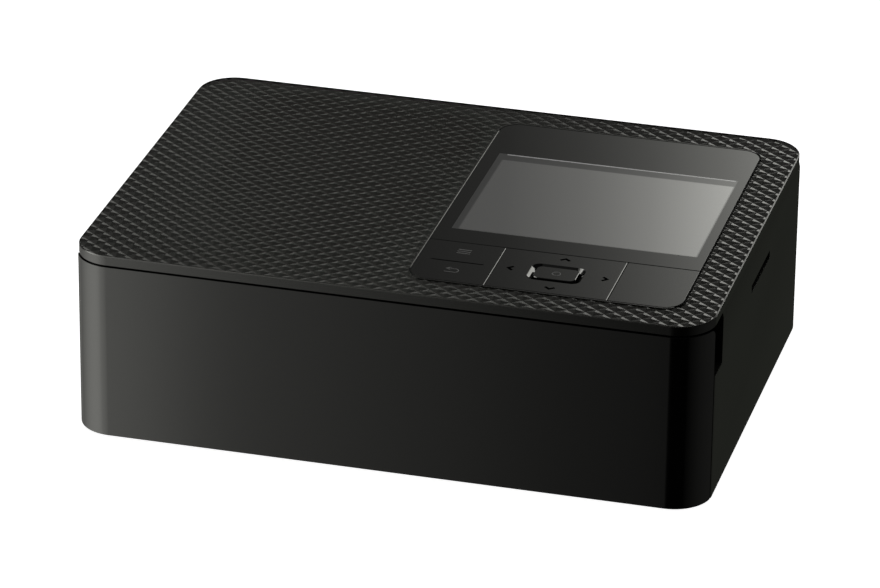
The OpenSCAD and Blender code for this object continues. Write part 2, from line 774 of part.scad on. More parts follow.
// Moulded frame in which the four-way pad tilts
carrier_x = 15.2;
carrier_y = 11.1;
carrier_top = pivot_z + 0.4;
pad_axis_r = 0.7;
module pad_carrier() color("#2b2b2e") difference() {
    union() {
        slab(pivot_z - 0.8, carrier_top) difference() {
            round_rect(ok_x - carrier_x, ok_x + carrier_x, key_y - carrier_y, key_y + carrier_y, 2);
            round_rect(ok_x - 10, ok_x + 10, key_y - 6.3, key_y + 6.3, 2);
            for (i = [2:5]) translate(switch_spots[i]) circle(1.5);
        }
        // Its own axis, along X
        for (s = [-1, 1])
            rod_x(ok_x + s * (carrier_x + 0.8) - 0.9, ok_x + s * (carrier_x + 0.8) + 0.9, key_y, pivot_z, pivot_r);
    }
    // Seats for the pad's axis, along Y
    for (s = [-1, 1])
        rod_y(key_y + s * 10.5 - 1, key_y + s * 10.5 + 1, ok_x, carrier_top, pad_axis_r + run);
}

module nav_pad() color("#0e0f11") {
    difference() {
        union() {
            key_plate(menu_x1 + panel_gap / 2, pad_x1 - panel_gap / 2);
            // Collar round the centre key
            slab(under_glass - 0.7, under_glass + eps) ok_outline(ok_gap + 0.7);
        }
        slab(under_glass - 2, body_h + 1) ok_outline(ok_gap);
    }
    for (i = [2:5]) rod_z(stem_end, under_glass + eps, switch_spots[i][0], switch_spots[i][1], 1);
    // Its axis, along Y, in the carrier's seats
    for (s = [-1, 1])
        rod_y(key_y + s * 10.4 - 0.6, key_y + s * 10.4 + 0.6, ok_x, carrier_top, pad_axis_r);
}

module ok_outline(grow) {
    round_rect(
        ok_x - ok_w / 2 - grow, ok_x + ok_w / 2 + grow,
        key_y - ok_d / 2 - grow, key_y + ok_d / 2 + grow, ok_r + grow / 2
    );
}

module ok_key() color("#0e0f11") {
    slab(under_glass - 0.4, body_h) ok_outline(0);
    rod_z(stem_end, under_glass, ok_x, key_y, 1.2);
    for (p = [guide_posts[2], guide_posts[3]]) rod_z(tray_floor + 0.2, under_glass, p[0], p[1], p[2]);
}

module print_key() color("#0e0f11") {
    key_plate(pad_x1 + panel_gap / 2, panel_x1 + 1);
    rod_z(stem_end, under_glass + eps, print_cx, key_y, 1.2);
    for (p = [guide_posts[0], guide_posts[1]]) rod_z(tray_floor + 0.2, under_glass + eps, p[0], p[1], p[2]);
}

// ---------------------------------------------------------------- electronics

module main_board() color("#1d5b3a")
    block([board_x0, board_y0, board_z], [in_right - 1.2, back_boss_y - 4.5, board_z + board_t]);

module board_parts() color("#26282b") {
    z = board_z + board_t;
    for (p = [[4, 57, 12, 12, 1.4], [5, 73, 9, 9, 1], [3, 8, 5, 12, 1.2], [10, 10, 6, 8, 1]])
        translate([board_x0 + p[0], board_y0 + p[1], z]) cube([p[2], p[3], p[4]]);
    // Coils and capacitors below the board
    for (y = [14, 23, 32]) rod_z(board_z - 9, board_z, in_right - 14, board_y0 + y, 3.2);
}

module card_socket() color("#a7aaae") difference() {
    block(
        [in_right - 27, slot_y - 1.6, slot_z - 1.7], [in_right - touch, slot_y + slot_w + 1.6, slot_z + slot_h + 0.5]
    );
    block([in_right - 26, slot_y, slot_z], [in_right + 1, slot_y + slot_w, slot_z + slot_h]);
}

module usb_socket() color("#a7aaae") difference() {
    plate_y(in_back - 8, in_back - touch) round_rect(usb_x - 4.5, usb_x + 4.5, jack_z - 1.6, jack_z + 1.6, 1.55);
    plate_y(in_back - 7, in_back + 1) difference() {
        round_rect(usb_x - 4.2, usb_x + 4.2, jack_z - 1.3, jack_z + 1.3, 1.25);
        translate([usb_x - 3.4, jack_z - 0.35]) square([6.8, 0.7]);
    }
}

module dc_jack() color("#101010") difference() {
    plate_y(in_back - 12, in_back - touch) round_rect(jack_x - 5.6, jack_x + 5.6, jack_z - 4, jack_z + 4, 1);
    plate_y(in_back - 10, in_back + 1) difference() {
        round_rect(jack_x - 4.4, jack_x + 4.4, jack_z - 2.7, jack_z + 2.7, 1);
        for (s = [-1, 1]) translate([jack_x + s * 2, jack_z]) circle(0.6);
    }
}

// ---------------------------------------------------------------- engine frame

// Side plate outline in Y and Z, with its holes
module side_outline(bush_r) {
    difference() {
        round_rect(plate_y0, plate_y1, foot_pad_z, plate_z1, 2);
        for (y = [platen_y, feed_y]) translate([y, roller_z]) circle(bush_r);
        translate([pick_y, pick_z]) circle(2);
        translate([head_y, head_z]) circle(pivot_stub_r + run);
        // Lightening window below the paper path
        round_rect(platen_y + 12, plate_y1 - 8, foot_pad_z + 6, path_z - 5, 2);
    }
}

module plate_feet(x) {
    for (y = [feed_y - 13, plate_y1 - 7]) difference() {
        block([x, y - 4, foot_pad_z], [x + 9, y + 4, foot_pad_z + plate_t]);
        rod_z(foot_pad_z - 1, foot_pad_z + 3, x + 5, y, 1.2);
    }
}

module chassis_left() color("#9a9da1") difference() {
    union() {
        plate_x(plate_l, plate_l + plate_t) difference() {
            side_outline(5);
            // Opening through which the ribbon cassette slides
            round_rect(
                takeup_y - tube_r - 0.8, supply_y + tube_r + 0.8,
                bar_z0 - 0.8, spool_z + tube_r + 0.8, 2
            );
        }
        plate_feet(plate_l);
        // Bracket of the eject lever
        for (z = [lever_z0 - 1.4, lever_z0 + lever_h + 0.2])
            block([lever_x - 2.2, lever_y - 2.4, z], [plate_l + eps, lever_y + 2.4, z + 1.2]);
    }
    rod_z(lever_z0 - 3, lever_z0 + lever_h + 3, lever_x, lever_y, lever_pin_r);
}

module chassis_right() color("#9a9da1") {
    plate_x(plate_r, plate_r + plate_t) difference() {
        side_outline(5);
        translate([takeup_y, spool_z]) circle(2.5);
        translate([supply_y, spool_z]) circle(2.5);
        translate([idler_y, idler_z]) circle(1.5);
    }
    plate_feet(plate_r);
}

standoff_spots = [
    [takeup_y - 15, spool_z - 0.6], [platen_y - 2, spool_z + 1.4],
    [pinion_y + 9, roller_z + 9.5], [idler_y, roller_z - 6]
];

module gear_plate() color("#9a9da1")
    plate_x(outer_plate, outer_plate + plate_t) difference() {
        round_rect(feed_y - 8.5, pinion_y + 12.8, foot_pad_z, spool_z + 6, 2);
        translate([platen_y, roller_z]) circle(journal_r + run);
        translate([feed_y, roller_z]) circle(journal_r + run);
        translate([idler_y, idler_z]) circle(1.5);
        translate([pinion_y, pinion_z]) circle(3);
        // Cut away above the motor
        translate([supply_y - 8, roller_z + 15]) square([30, 20]);
    }

module gear_standoffs() color("#c2a35a")
    for (p = standoff_spots) rod_x(plate_r + plate_t, outer_plate, p[0], p[1], 2.5);

module roller_bushes() color("#d8d3c4")
    for (x = [plate_l, plate_r], y = [platen_y, feed_y]) difference() {
        union() {
            rod_x(x, x + plate_t, y, roller_z, 5);
            rod_x(x == plate_l ? x + plate_t : x - 0.8, x == plate_l ? x + plate_t + 0.8 : x, y, roller_z, 5.8);
        }
        rod_x(x - 2, x + 4, y, roller_z, journal_r + run);
    }

// Lower guide from the paper bay to the rear slot, with windows for the two rollers
module paper_guide() color("#222224") difference() {
    x0 = plate_l + plate_t;
    union() {
        plate_x(x0, plate_r) polygon([
            [plate_y0 + 2, floor_z + 3], [feed_y - 10, path_z - 4.5], [feed_y - 3, path_z - 1.6],
            [in_back - touch, path_z - 1.6], [in_back - touch, path_z - 3.2], [feed_y - 2.6, path_z - 3.2],
            [feed_y - 8.6, path_z - 5.6], [plate_y0 + 3.8, floor_z + 3]
        ]);
        for (x = [x0, plate_r - film_gap + 0.8])
            plate_x(x, x + film_gap - 0.8)
                translate([feed_y - 8, roller_z - 4.5]) square([roller_pitch + 16, path_z - roller_z + 2.9]);
    }
    for (y = [platen_y, feed_y]) {
        rod_x(film_x0 - 0.9, film_x1 + 0.9, y, roller_z, roller_r + 0.6);
        rod_x(x0 - 1, plate_r + 1, y, roller_z, journal_r + 0.4);
        rod_x(x0 - 1, x0 + 1.1, y, roller_z, 6.1);
        rod_x(plate_r - 1.1, plate_r + 1, y, roller_z, 6.1);
    }
}

// ---------------------------------------------------------------- rollers

module platen_shaft() color("#b9bcc0")
    rod_x(plate_l - 1, outer_plate + plate_t, platen_y, roller_z, journal_r);

module platen_sleeve() color("#2c2c2e") difference() {
    rod_x(film_x0 - 0.5, film_x1 + 0.5, platen_y, roller_z, roller_r);
    rod_x(film_x0 - 2, film_x1 + 2, platen_y, roller_z, journal_r);
}

module platen_gear() color("#e6e2d6")
    gear(gear_x1, platen_y, roller_z, roller_teeth, gear_mod, platen_turn, journal_r);

module feed_roller() color("#b9bcc0") {
    rod_x(film_x0, film_x1, feed_y, roller_z, roller_r);
    rod_x(plate_l - 1, outer_plate + plate_t, feed_y, roller_z, journal_r);
}

module feed_gear() color("#e6e2d6")
    gear(gear_x1, feed_y, roller_z, roller_teeth, gear_mod, feed_turn, journal_r);

module pinch_roller() color("#b9bcc0") {
    rod_x(film_x0, film_x1, feed_y, pinch_z, pinch_r);
    rod_x(film_x0 - 2.4, film_x1 + 2.4, feed_y, pinch_z, 1.2);
}

module pinch_holder() color("#222224") difference() {
    union() {
        block([plate_l + plate_t, feed_y - 5.6, pinch_z - 2], [plate_r, feed_y - 3.2, pinch_z + 2.6]);
        for (x = [film_x0 - 2.3, film_x1 + 0.7])
            block([x, feed_y - 4, pinch_z - 1.9], [x + 1.6, feed_y + 1.9, pinch_z + 1.9]);
    }
    rod_x(film_x0 - 4, film_x1 + 4, feed_y, pinch_z, 1.2 + run);
}

// ---------------------------------------------------------------- gear train

module idler_axle() color("#b9bcc0")
    rod_x(plate_r, outer_plate + plate_t, idler_y, idler_z, 1.5);

module idler_gear() color("#e6e2d6") {
    gear(gear_x0, idler_y, idler_z, idler_small_teeth, gear_mod, idler_turn, 1.5 + run);
    gear(gear_x1, idler_y, idler_z, idler_teeth, gear_mod, idler_turn, 1.5 + run);
    difference() {
        rod_x(gear_x0 + gear_t - 0.5, gear_x1 + 0.5, idler_y, idler_z, 2.8);
        rod_x(gear_x0, gear_x1 + gear_t, idler_y, idler_z, 1.5 + run);
    }
}

module motor() color("#6f7276") difference() {
    union() {
        rod_x(outer_plate + plate_t, outer_plate + plate_t + motor_l, pinion_y, pinion_z, motor_r);
        rod_x(outer_plate + plate_t + motor_l - eps, outer_plate + plate_t + motor_l + 2, pinion_y, pinion_z, 3);
        rod_x(outer_plate + 0.1, outer_plate + plate_t + eps, pinion_y, pinion_z, 2.9);
    }
    rod_x(outer_plate - 1, outer_plate + plate_t + 6, pinion_y, pinion_z, 1 + run);
}

module motor_pinion() color("#c2a35a") {
    gear(gear_x1, pinion_y, pinion_z, pinion_teeth, gear_mod, pinion_turn, 0.5);
    rod_x(gear_x1, outer_plate + plate_t + 5, pinion_y, pinion_z, 1);
}

module takeup_gear() color("#e6e2d6") {
    gear(gear_x0, takeup_y, spool_z, takeup_teeth, gear_mod, takeup_turn, 1);
    rod_x(case_x1 + 0.5, gear_x0 + gear_t, takeup_y, spool_z, 2.5 - run);
    rod_x(plate_r + plate_t + 0.2, gear_x0, takeup_y, spool_z, 3.2);
    translate([case_x1 - 3, takeup_y, spool_z]) rotate([0, 90, 0]) cylinder(h = 4, r = dog_r, $fn = 6);
}

module supply_hub() color("#2b2b2e") {
    rod_x(case_x1 + 0.5, gear_x0 + 1, supply_y, spool_z, 2.5 - run);
    rod_x(plate_r + plate_t + 0.2, gear_x0 + 1, supply_y, spool_z, 4.2);
    translate([case_x1 - 3, supply_y, spool_z]) rotate([0, 90, 0]) cylinder(h = 4, r = dog_r, $fn = 6);
}

// ---------------------------------------------------------------- print head

// Draws its children raised, as the head rests. They are written lowered onto the platen.
module raised() {
    translate([0, head_y, head_z]) rotate([-head_lift, 0, 0]) translate([0, -head_y, -head_z]) children();
}

module head_frame() color("#9a9da1") raised() difference() {
    union() {
        block([film_x0 - 1, platen_y + head_hw, frame_top], [film_x1 + 1, head_y + 2, frame_top + 1.2]);
        block([film_x0 - 1, platen_y + head_hw, head_top - 6], [film_x1 + 1, platen_y + head_hw + 1.2, frame_top + eps]);
        for (x = [plate_l + plate_t + 0.5, plate_r - 1.7]) {
            block([x, head_y - 4, head_z], [x + 1.2, head_y + 3, frame_top + 1.2]);
            rod_x(x, x + 1.2, head_y, head_z, 4);
        }
        block([plate_l + plate_t + 0.5, head_y - 4, frame_top], [plate_r - 0.5, head_y + 2, frame_top + 1.2]);
        // Stub pins in the side plates
        rod_x(plate_l, plate_l + plate_t + 0.6, head_y, head_z, pivot_stub_r);
        rod_x(plate_r - 0.6, plate_r + plate_t, head_y, head_z, pivot_stub_r);
    }
    // Windows that lighten the plate
    for (i = [0:3])
        slab(frame_top - 1, frame_top + 3) round_rect(
            film_x0 + 6 + i * 23.5, film_x0 + 23 + i * 23.5, platen_y + head_hw + 5, head_y - 6, 2
        );
}

module heat_sink() color("#a9adb2") raised() difference() {
    block([film_x0 - 0.5, platen_y - head_hw, head_bottom + 2.8], [film_x1 + 0.5, platen_y + head_hw, head_top]);
    // Cooling channels along the head
    for (i = [0:2])
        block(
            [film_x0 - 2, platen_y - head_hw + 1.4 + i * 2.9, head_bottom + 7],
            [film_x1 + 2, platen_y - head_hw + 2.8 + i * 2.9, head_top + 1]
        );
}

module thermal_head() color("#d9d4c8") raised() {
    block([film_x0, platen_y - head_hw + 0.5, head_bottom + 0.8], [film_x1, platen_y + head_hw - 0.5, head_bottom + 2.8]);
    // Glaze bead with the line of heaters
    intersection() {
        rod_x(film_x0, film_x1, platen_y, head_bottom + 1.8, 1.8);
        block([film_x0, platen_y - 2, head_bottom], [film_x1, platen_y + 2, head_bottom + 1]);
    }
}

// ---------------------------------------------------------------- paper pickup

module pickup_shaft() color("#b9bcc0")
    rod_x(plate_l, plate_r + plate_t, pick_y, pick_z, 2);

// Puts its children on the arm's line: their first axis runs from the pivot to the roller
module along_arm() {
    translate([0, pick_y, pick_z]) rotate([arm_toward, 0, 0]) children();
}

module arm_cheek(x) {
    along_arm() plate_x(x, x + 1.8) difference() {
        union() {
            translate([0, -3.2]) square([pick_reach, 6.4]);
            circle(4);
            translate([pick_reach, 0]) circle(3.2);
        }
        circle(2 + run);
        translate([pick_reach, 0]) circle(1.5 + run);
    }
}

module pickup_arm() color("#2b2b2e") {
    for (x = [pick_x - pick_half, pick_x + pick_half - 1.8]) arm_cheek(x);
    along_arm() difference() {
        union() {
            rod_x(pick_x - pick_half, pick_x + pick_half, 0, 0, 3.4);
            block([pick_x - pick_half + 1, 3, -1], [pick_x + pick_half - 1, 12, 1]);
        }
        rod_x(pick_x - pick_half - 1, pick_x + pick_half + 1, 0, 0, 2 + run);
    }
    // Stud of the idler
    along_arm() rod_x(pick_x - pick_half - gear_t - 0.6, pick_x - pick_half + 1.8, pick_idler_at, 0, 1.2);
}

module pickup_roller() color("#d8d3c4") {
    along_arm() {
        rod_x(pick_x - pick_half - gear_t - 0.4, pick_x + pick_half + 1, pick_reach, 0, 1.5);
        rod_x(pick_x - pick_half + 2.2, pick_x + pick_half - 2.2, pick_reach, 0, 3);
        translate([pick_x - pick_half - gear_t - 0.4, 0, 0]) plate_x(0, gear_t)
            translate([pick_reach, 0]) gear_outline(pick_roller_teeth, pickup_mod, pick_roller_turn - arm_toward);
    }
}

module pickup_tyres() color("#3a3a3c") along_arm()
    for (x = [pick_x - 11.5, pick_x + 2.5]) difference() {
        rod_x(x, x + 9, pick_reach, 0, tyre_r);
        rod_x(x - 1, x + 10, pick_reach, 0, 3);
    }

module pickup_idler() color("#e6e2d6") along_arm()
    translate([pick_x - pick_half - gear_t - 0.4, 0, 0]) plate_x(0, gear_t) difference() {
        translate([pick_idler_at, 0]) gear_outline(pick_idler_teeth, pickup_mod, pick_idler_turn - arm_toward);
        translate([pick_idler_at, 0]) circle(1.2 + run);
    }

module pickup_drive_gear() color("#e6e2d6") along_arm()
    translate([pick_x - pick_half - gear_t - 0.4, 0, 0]) plate_x(0, gear_t) difference() {
        gear_outline(pick_teeth, pickup_mod, -arm_toward);
        circle(2 + run);
    }

// ---------------------------------------------------------------- ribbon cassette

module case_profile() {
    for (y = [takeup_y, supply_y]) translate([y, spool_z]) circle(tube_r);
    translate([takeup_y, bar_z0]) square([spool_pitch, bar_t]);
}

module ribbon_case() color("#3b3d42") difference() {
    union() {
        for (y = [takeup_y, supply_y]) rod_x(case_x0 + case_end, case_x1, y, spool_z, tube_r);
        plate_x(case_x0, case_x0 + case_end) case_profile();
        plate_x(case_x1 - bar_end, case_x1) case_profile();
        // Ear that the eject lever pushes
        block(
            [case_x0, takeup_y - tube_r - 5.2, lever_z0 + 0.4],
            [case_x0 + 1.9, takeup_y - tube_r + 2, lever_z0 + lever_h - 0.4]
        );
    }
    for (y = [takeup_y, supply_y]) {
        rod_x(case_x0 + case_end, case_x1 - case_head, y, spool_z, tube_r - tube_wall);
        rod_x(case_x1 - case_head - 1, case_x1 + 1, y, spool_z, 3);
        rod_x(case_x0 + 1.2, case_x0 + case_end + 1, y, spool_z, 3);
    }
    // Mouths through which the film passes
    block(
        [film_x0 - 0.5, takeup_y + 2, spool_z - tube_r - 0.3],
        [film_x1 + 0.5, supply_y - 2, spool_z - tube_r + 2.4]
    );
    // Thumb grip in the handle end
    rod_x(case_x0 - 1, case_x0 + 0.8, takeup_y + spool_pitch / 2, spool_z - 14, 9);
}

module spool(y, wound) {
    difference() {
        union() {
            rod_x(case_x0 + 1.4, case_x1 - 0.3, y, spool_z, 3 - run);
            rod_x(case_x0 + case_end + touch, case_x1 - case_head - touch, y, spool_z, 3.6);
            rod_x(film_x0, film_x1, y, spool_z, wound);
        }
        translate([case_x1 - 3.4, y, spool_z]) rotate([0, 90, 0]) cylinder(h = 4, r = dog_r + 0.3, $fn = 6);
    }
}

module takeup_spool() color("#55585e") spool(takeup_y, 4.6);

module supply_spool() color("#c9a227") spool(supply_y, 7.4);

module ribbon_film() color("#c9a227")
    block(
        [film_x0, takeup_y + 2, spool_z - tube_r + 0.6], [film_x1, supply_y - 2, spool_z - tube_r + 0.8]
    );

module eject_lever() color("#4a7fb5")
    slab(lever_z0, lever_z0 + lever_h) translate([lever_x, lever_y]) difference() {
        union() {
            circle(2.2);
            translate([-2.6, -8]) square([1.6, 8]);
            translate([0.4, 0]) square([1.4, 6]);
            translate([1.1, 6]) circle(0.7);
        }
        circle(lever_pin_r + run);
    }

module eject_pin() color("#b9bcc0")
    rod_z(lever_z0 - 1.4, lever_z0 + lever_h + 1.4, lever_x, lever_y, lever_pin_r);

// ---------------------------------------------------------------- assembly

top_shell();
base_plate();
front_frame();
feet();
case_screws();
front_cover();
front_cover_pins();
ribbon_door();
ribbon_door_pins();
display_glass();
lcd_module();
panel_tray();
key_board();
key_switches();
key_saddles();
menu_key();
pad_carrier();
nav_pad();
ok_key();
print_key();
main_board();
board_parts();
card_socket();
usb_socket();
dc_jack();
chassis_left();
chassis_right();
gear_plate();
gear_standoffs();
roller_bushes();
paper_guide();
platen_shaft();
platen_sleeve();
platen_gear();
feed_roller();
feed_gear();
pinch_holder();
pinch_roller();
idler_axle();
idler_gear();
motor();
motor_pinion();
takeup_gear();
supply_hub();
head_frame();
heat_sink();
thermal_head();
pickup_shaft();
pickup_arm();
pickup_roller();
pickup_tyres();
pickup_idler();
pickup_drive_gear();
ribbon_case();
takeup_spool();
supply_spool();
ribbon_film();
eject_lever();
eject_pin();
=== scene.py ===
# %% [markdown]
# # A compact photo printer, dressed for its picture
# The object is a low black box that prints photographs. It has a front cover that folds down, a lid with
# a fine pyramid grain, and a gloss control panel with a display and a row of keys. Its solids come from
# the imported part. This lesson adds what a solid model leaves out: soft moulded edges, the grain of the
# lid, the marks on the keys and a finish for every piece.

import json
import math

import bmesh
import bpy
import numpy as np
from mathutils import Matrix, Vector

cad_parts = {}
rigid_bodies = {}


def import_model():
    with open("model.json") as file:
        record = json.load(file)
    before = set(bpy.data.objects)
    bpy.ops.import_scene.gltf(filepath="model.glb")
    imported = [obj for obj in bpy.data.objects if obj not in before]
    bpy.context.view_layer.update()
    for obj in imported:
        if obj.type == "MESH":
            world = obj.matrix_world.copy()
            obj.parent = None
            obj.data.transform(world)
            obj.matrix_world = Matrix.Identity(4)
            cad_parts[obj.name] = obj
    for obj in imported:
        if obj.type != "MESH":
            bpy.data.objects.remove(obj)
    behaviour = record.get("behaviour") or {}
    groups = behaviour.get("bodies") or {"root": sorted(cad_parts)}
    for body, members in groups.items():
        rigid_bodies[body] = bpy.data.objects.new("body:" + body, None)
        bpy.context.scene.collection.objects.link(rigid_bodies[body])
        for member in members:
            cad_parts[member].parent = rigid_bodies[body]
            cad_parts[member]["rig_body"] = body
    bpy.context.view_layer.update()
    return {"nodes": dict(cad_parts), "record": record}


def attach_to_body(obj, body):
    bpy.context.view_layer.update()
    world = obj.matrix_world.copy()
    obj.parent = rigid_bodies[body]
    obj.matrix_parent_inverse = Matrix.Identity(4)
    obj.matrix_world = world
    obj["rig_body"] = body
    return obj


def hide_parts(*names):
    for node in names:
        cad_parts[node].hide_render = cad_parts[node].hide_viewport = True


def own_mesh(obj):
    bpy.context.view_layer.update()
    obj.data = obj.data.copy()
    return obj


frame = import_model()
nodes = frame["nodes"]
scene = bpy.context.scene

# %% [markdown]
# ## Sizes from the solids
# The body's and the panel's outer sizes are read from the solids, so the dressing fits them. Their corner
# radii, the panel's gap and its rim are given. Lengths on the part are in millimetres, and MM turns them
# into Blender's metres. The studio round it is in metres.

# %% Read the body, the panel and the display
MM = 0.001


def extent(node):
    """A solid's box as ((x0, x1), (y0, y1), (z0, z1)), in millimetres."""
    corners = np.array([v.co[:] for v in nodes[node].data.vertices]) / MM
    return tuple(zip(corners.min(axis=0).round(3).tolist(), corners.max(axis=0).round(3).tolist()))


(_, BODY_X1), (_, BODY_Y1), (_, BODY_TOP) = extent("top_shell")
BODY_R = 11.1
PANEL_X0, PANEL_X1 = extent("display_glass")[0]
PANEL_Y0, PANEL_Y1 = extent("menu_key")[1][0], extent("display_glass")[1][1]
PANEL_R, PANEL_GAP, RIM_WIDTH = 5.5, 0.3, 0.7
print("body:", BODY_X1, BODY_Y1, BODY_TOP, "panel:", PANEL_X0, PANEL_X1, PANEL_Y0, PANEL_Y1)

# %% [markdown]
# ## The camera
# The photograph was taken from the front right and from above, with a long lens. The camera's place was
# found by fitting the body's edges, so straight edges of the part land on those of the picture. A long
# lens far away keeps upright edges almost parallel, as in the picture.

# %% Place the camera
TARGET = np.array([-1.577, 0.0, 26.505]) * MM
AZIMUTH, ELEVATION, ROLL = math.radians(14.717), math.radians(25.25), math.radians(0.67)
DISTANCE = 1524.659 * MM
FOCAL_PIXELS, PICTURE_WIDTH = 5315.997, 880
SENSOR_WIDTH = 36


def add_object(name, data):
    """An object that shows this data, linked to the scene."""
    added = bpy.data.objects.new(name, data)
    scene.collection.objects.link(added)
    return added


back_way = np.array([
    math.sin(AZIMUTH) * math.cos(ELEVATION),
    -math.cos(AZIMUTH) * math.cos(ELEVATION),
    math.sin(ELEVATION),
])
right_way = np.cross(-back_way, [0, 0, 1])
right_way /= np.linalg.norm(right_way)
up_way = np.cross(right_way, -back_way)
right_rolled = right_way * math.cos(ROLL) + up_way * math.sin(ROLL)
up_rolled = -right_way * math.sin(ROLL) + up_way * math.cos(ROLL)

camera_data = bpy.data.cameras.new("camera")
camera_data.sensor_width = SENSOR_WIDTH
camera_data.lens = FOCAL_PIXELS / PICTURE_WIDTH * SENSOR_WIDTH
camera_data.clip_start, camera_data.clip_end = 0.05, 50
camera = add_object("camera", camera_data)
placing = Matrix([list(v) for v in zip(right_rolled, up_rolled, back_way)]).to_4x4()
placing.translation = Vector(TARGET + back_way * DISTANCE)
camera.matrix_world = placing
scene.camera = camera
print("camera at", [round(float(v), 4) for v in camera.matrix_world.translation])

# %% [markdown]
# ## The studio
# The picture is a dark object on pure white, and a dark gloss object shows its shape only by what it
# mirrors. A real photographer hides the white table from the gloss with dark boards, and adds graded
# cards where a highlight should run. The same is done here: the floor is kept out of the reflections,
# the world is dim in them, and a few large cards with a soft slope of brightness stand round the part.

# %% A white world that is dim in reflections
WORLD_IN_REFLECTIONS = 0.034

scene.view_settings.view_transform = "Standard"
scene.view_settings.look = "None"

world = bpy.data.worlds.new("studio")
world.use_nodes = True
tree = world.node_tree
sky = tree.nodes["Background"]
sky.inputs["Color"].default_value = (1, 1, 1, 1)
rays = tree.nodes.new("ShaderNodeLightPath")
level = tree.nodes.new("ShaderNodeMapRange")
level.inputs["To Min"].default_value = WORLD_IN_REFLECTIONS
tree.links.new(rays.outputs["Is Camera Ray"], level.inputs["Value"])
tree.links.new(level.outputs["Result"], sky.inputs["Strength"])
scene.world = world
print("world strength in reflections:", WORLD_IN_REFLECTIONS)

# %% The floor
FLOOR_HALF = 6.0


def mesh_piece(name, points, faces):
    """A mesh object with one row of `points` for each corner and one row of `faces` for each face."""
    mesh = bpy.data.meshes.new(name)
    mesh.from_pydata(np.asarray(points, float).tolist(), [], [[int(i) for i in face] for face in faces])
    mesh.update()
    return add_object(name, mesh)


def rectangle(x0, x1, y0, y1, z=0.0):
    """The four corners of a level rectangle, anticlockwise."""
    return np.array([[x0, y0, z], [x1, y0, z], [x1, y1, z], [x0, y1, z]])


floor = mesh_piece("floor", rectangle(-FLOOR_HALF, FLOOR_HALF, -FLOOR_HALF, FLOOR_HALF), [[0, 1, 2, 3]])
floor_paint = bpy.data.materials.new("floor_paint")
floor_paint.use_nodes = True
paint = floor_paint.node_tree.nodes["Principled BSDF"]
paint.inputs["Base Color"].default_value = (0.8, 0.8, 0.8, 1)
paint.inputs["Roughness"].default_value = 1.0
paint.inputs["Emission Color"].default_value = (1, 1, 1, 1)
paint.inputs["Emission Strength"].default_value = 1.0
floor.data.materials.append(floor_paint)
floor.visible_glossy = False
floor.visible_diffuse = False
print("floor:", 2 * FLOOR_HALF, "m wide")

# %% [markdown]
# ## Cards and a lamp
# A card is a glowing board that only reflections see. Its brightness is a ramp along its width, so a
# gloss face that mirrors it shows a soft slope. Each card below serves one group of faces.

# %% A glow that changes along a board
def card_glow(name, levels, tint):
    """A glow that follows `levels` along the board. The ramp holds each brightness over the brightest
    one, and the strength brings it back."""
    glow = bpy.data.materials.new(name + "_glow")
    glow.use_nodes = True
    tree = glow.node_tree
    tree.nodes.clear()
    out = tree.nodes.new("ShaderNodeOutputMaterial")
    emit = tree.nodes.new("ShaderNodeEmission")
    ramp = tree.nodes.new("ShaderNodeValToRGB")
    split = tree.nodes.new("ShaderNodeSeparateXYZ")
    spread = tree.nodes.new("ShaderNodeUVMap")
    spread.uv_map = "across"
    brightest = max(brightness for _, brightness in levels) or 1.0
    stops = ramp.color_ramp.elements
    while len(stops) < len(levels):
        stops.new(0.5)
    for stop, (place, brightness) in zip(stops, levels):
        stop.position = place
        stop.color = (*(part * brightness / brightest for part in tint), 1)
    emit.inputs["Strength"].default_value = brightest
    tree.links.new(spread.outputs["UV"], split.inputs["Vector"])
    tree.links.new(split.outputs["X"], ramp.inputs["Fac"])
    tree.links.new(ramp.outputs["Color"], emit.inputs["Color"])
    tree.links.new(emit.outputs["Emission"], out.inputs["Surface"])
    return glow


# %% Make a card and a lamp
WARM = (1.0, 1.0, 0.94)
OLIVE = (0.96, 1.02, 0.85)


def card(name, centre, facing, width, height, levels, tint=WARM):
    """A glowing board at `centre` that faces the point `facing`, seen only in reflections.
    `levels` lists (place, brightness) pairs along its width from left to right, as seen from the part,
    with places from 0 to 1. A single number stands for an even board."""
    if not isinstance(levels, list):
        levels = [(0.0, levels), (1.0, levels)]
    turn = (Vector(facing) - Vector(centre)).to_track_quat("Z", "Y").to_matrix()
    flat = rectangle(-width / 2, width / 2, -height / 2, height / 2)
    corners = [list(Vector(centre) + turn @ Vector(corner)) for corner in flat]
    board = mesh_piece(name, corners, [[0, 1, 2, 3]])
    board.data.uv_layers.new(name="across").data.foreach_set("uv", [0, 0, 1, 0, 1, 1, 0, 1])
    board.data.materials.append(card_glow(name, levels, tint))
    board.visible_camera = False
    board.visible_shadow = False
    board.visible_diffuse = False


def lamp(name, place, aim, size, watts):
    """A soft square light at `place` that faces `aim` and stays out of reflections."""
    data = bpy.data.lights.new(name, "AREA")
    data.shape, data.size, data.size_y, data.energy = "RECTANGLE", size, size, watts
    light = add_object(name, data)
    light.location = place
    light.rotation_euler = (Vector(aim) - Vector(place)).to_track_quat("-Z", "Y").to_euler()
    light.visible_glossy = False


# %% [markdown]
# ## The cards behind the part
# The camera looks down at the lid from the front, so all level faces mirror what stands behind. The cards
# there run along X, from the part's left to its right. Most are dark at the left and bright at the right.

# %% Place the rear cards
# High behind the part: the glass and the keys mirror this board, dark at its left and bright at its right
card(
    "rear_high_card", (-0.10, 1.05, 0.56), (-0.10, 0.0, 0.56), 0.8, 0.32,
    [
        (0.0, 0.06), (0.26, 0.11), (0.32, 0.15), (0.345, 0.21), (0.37, 0.28), (0.39, 0.37), (0.415, 0.52),
        (0.435, 0.71), (0.46, 0.98), (0.485, 1.35), (0.52, 1.8), (1.0, 1.8),
    ],
)
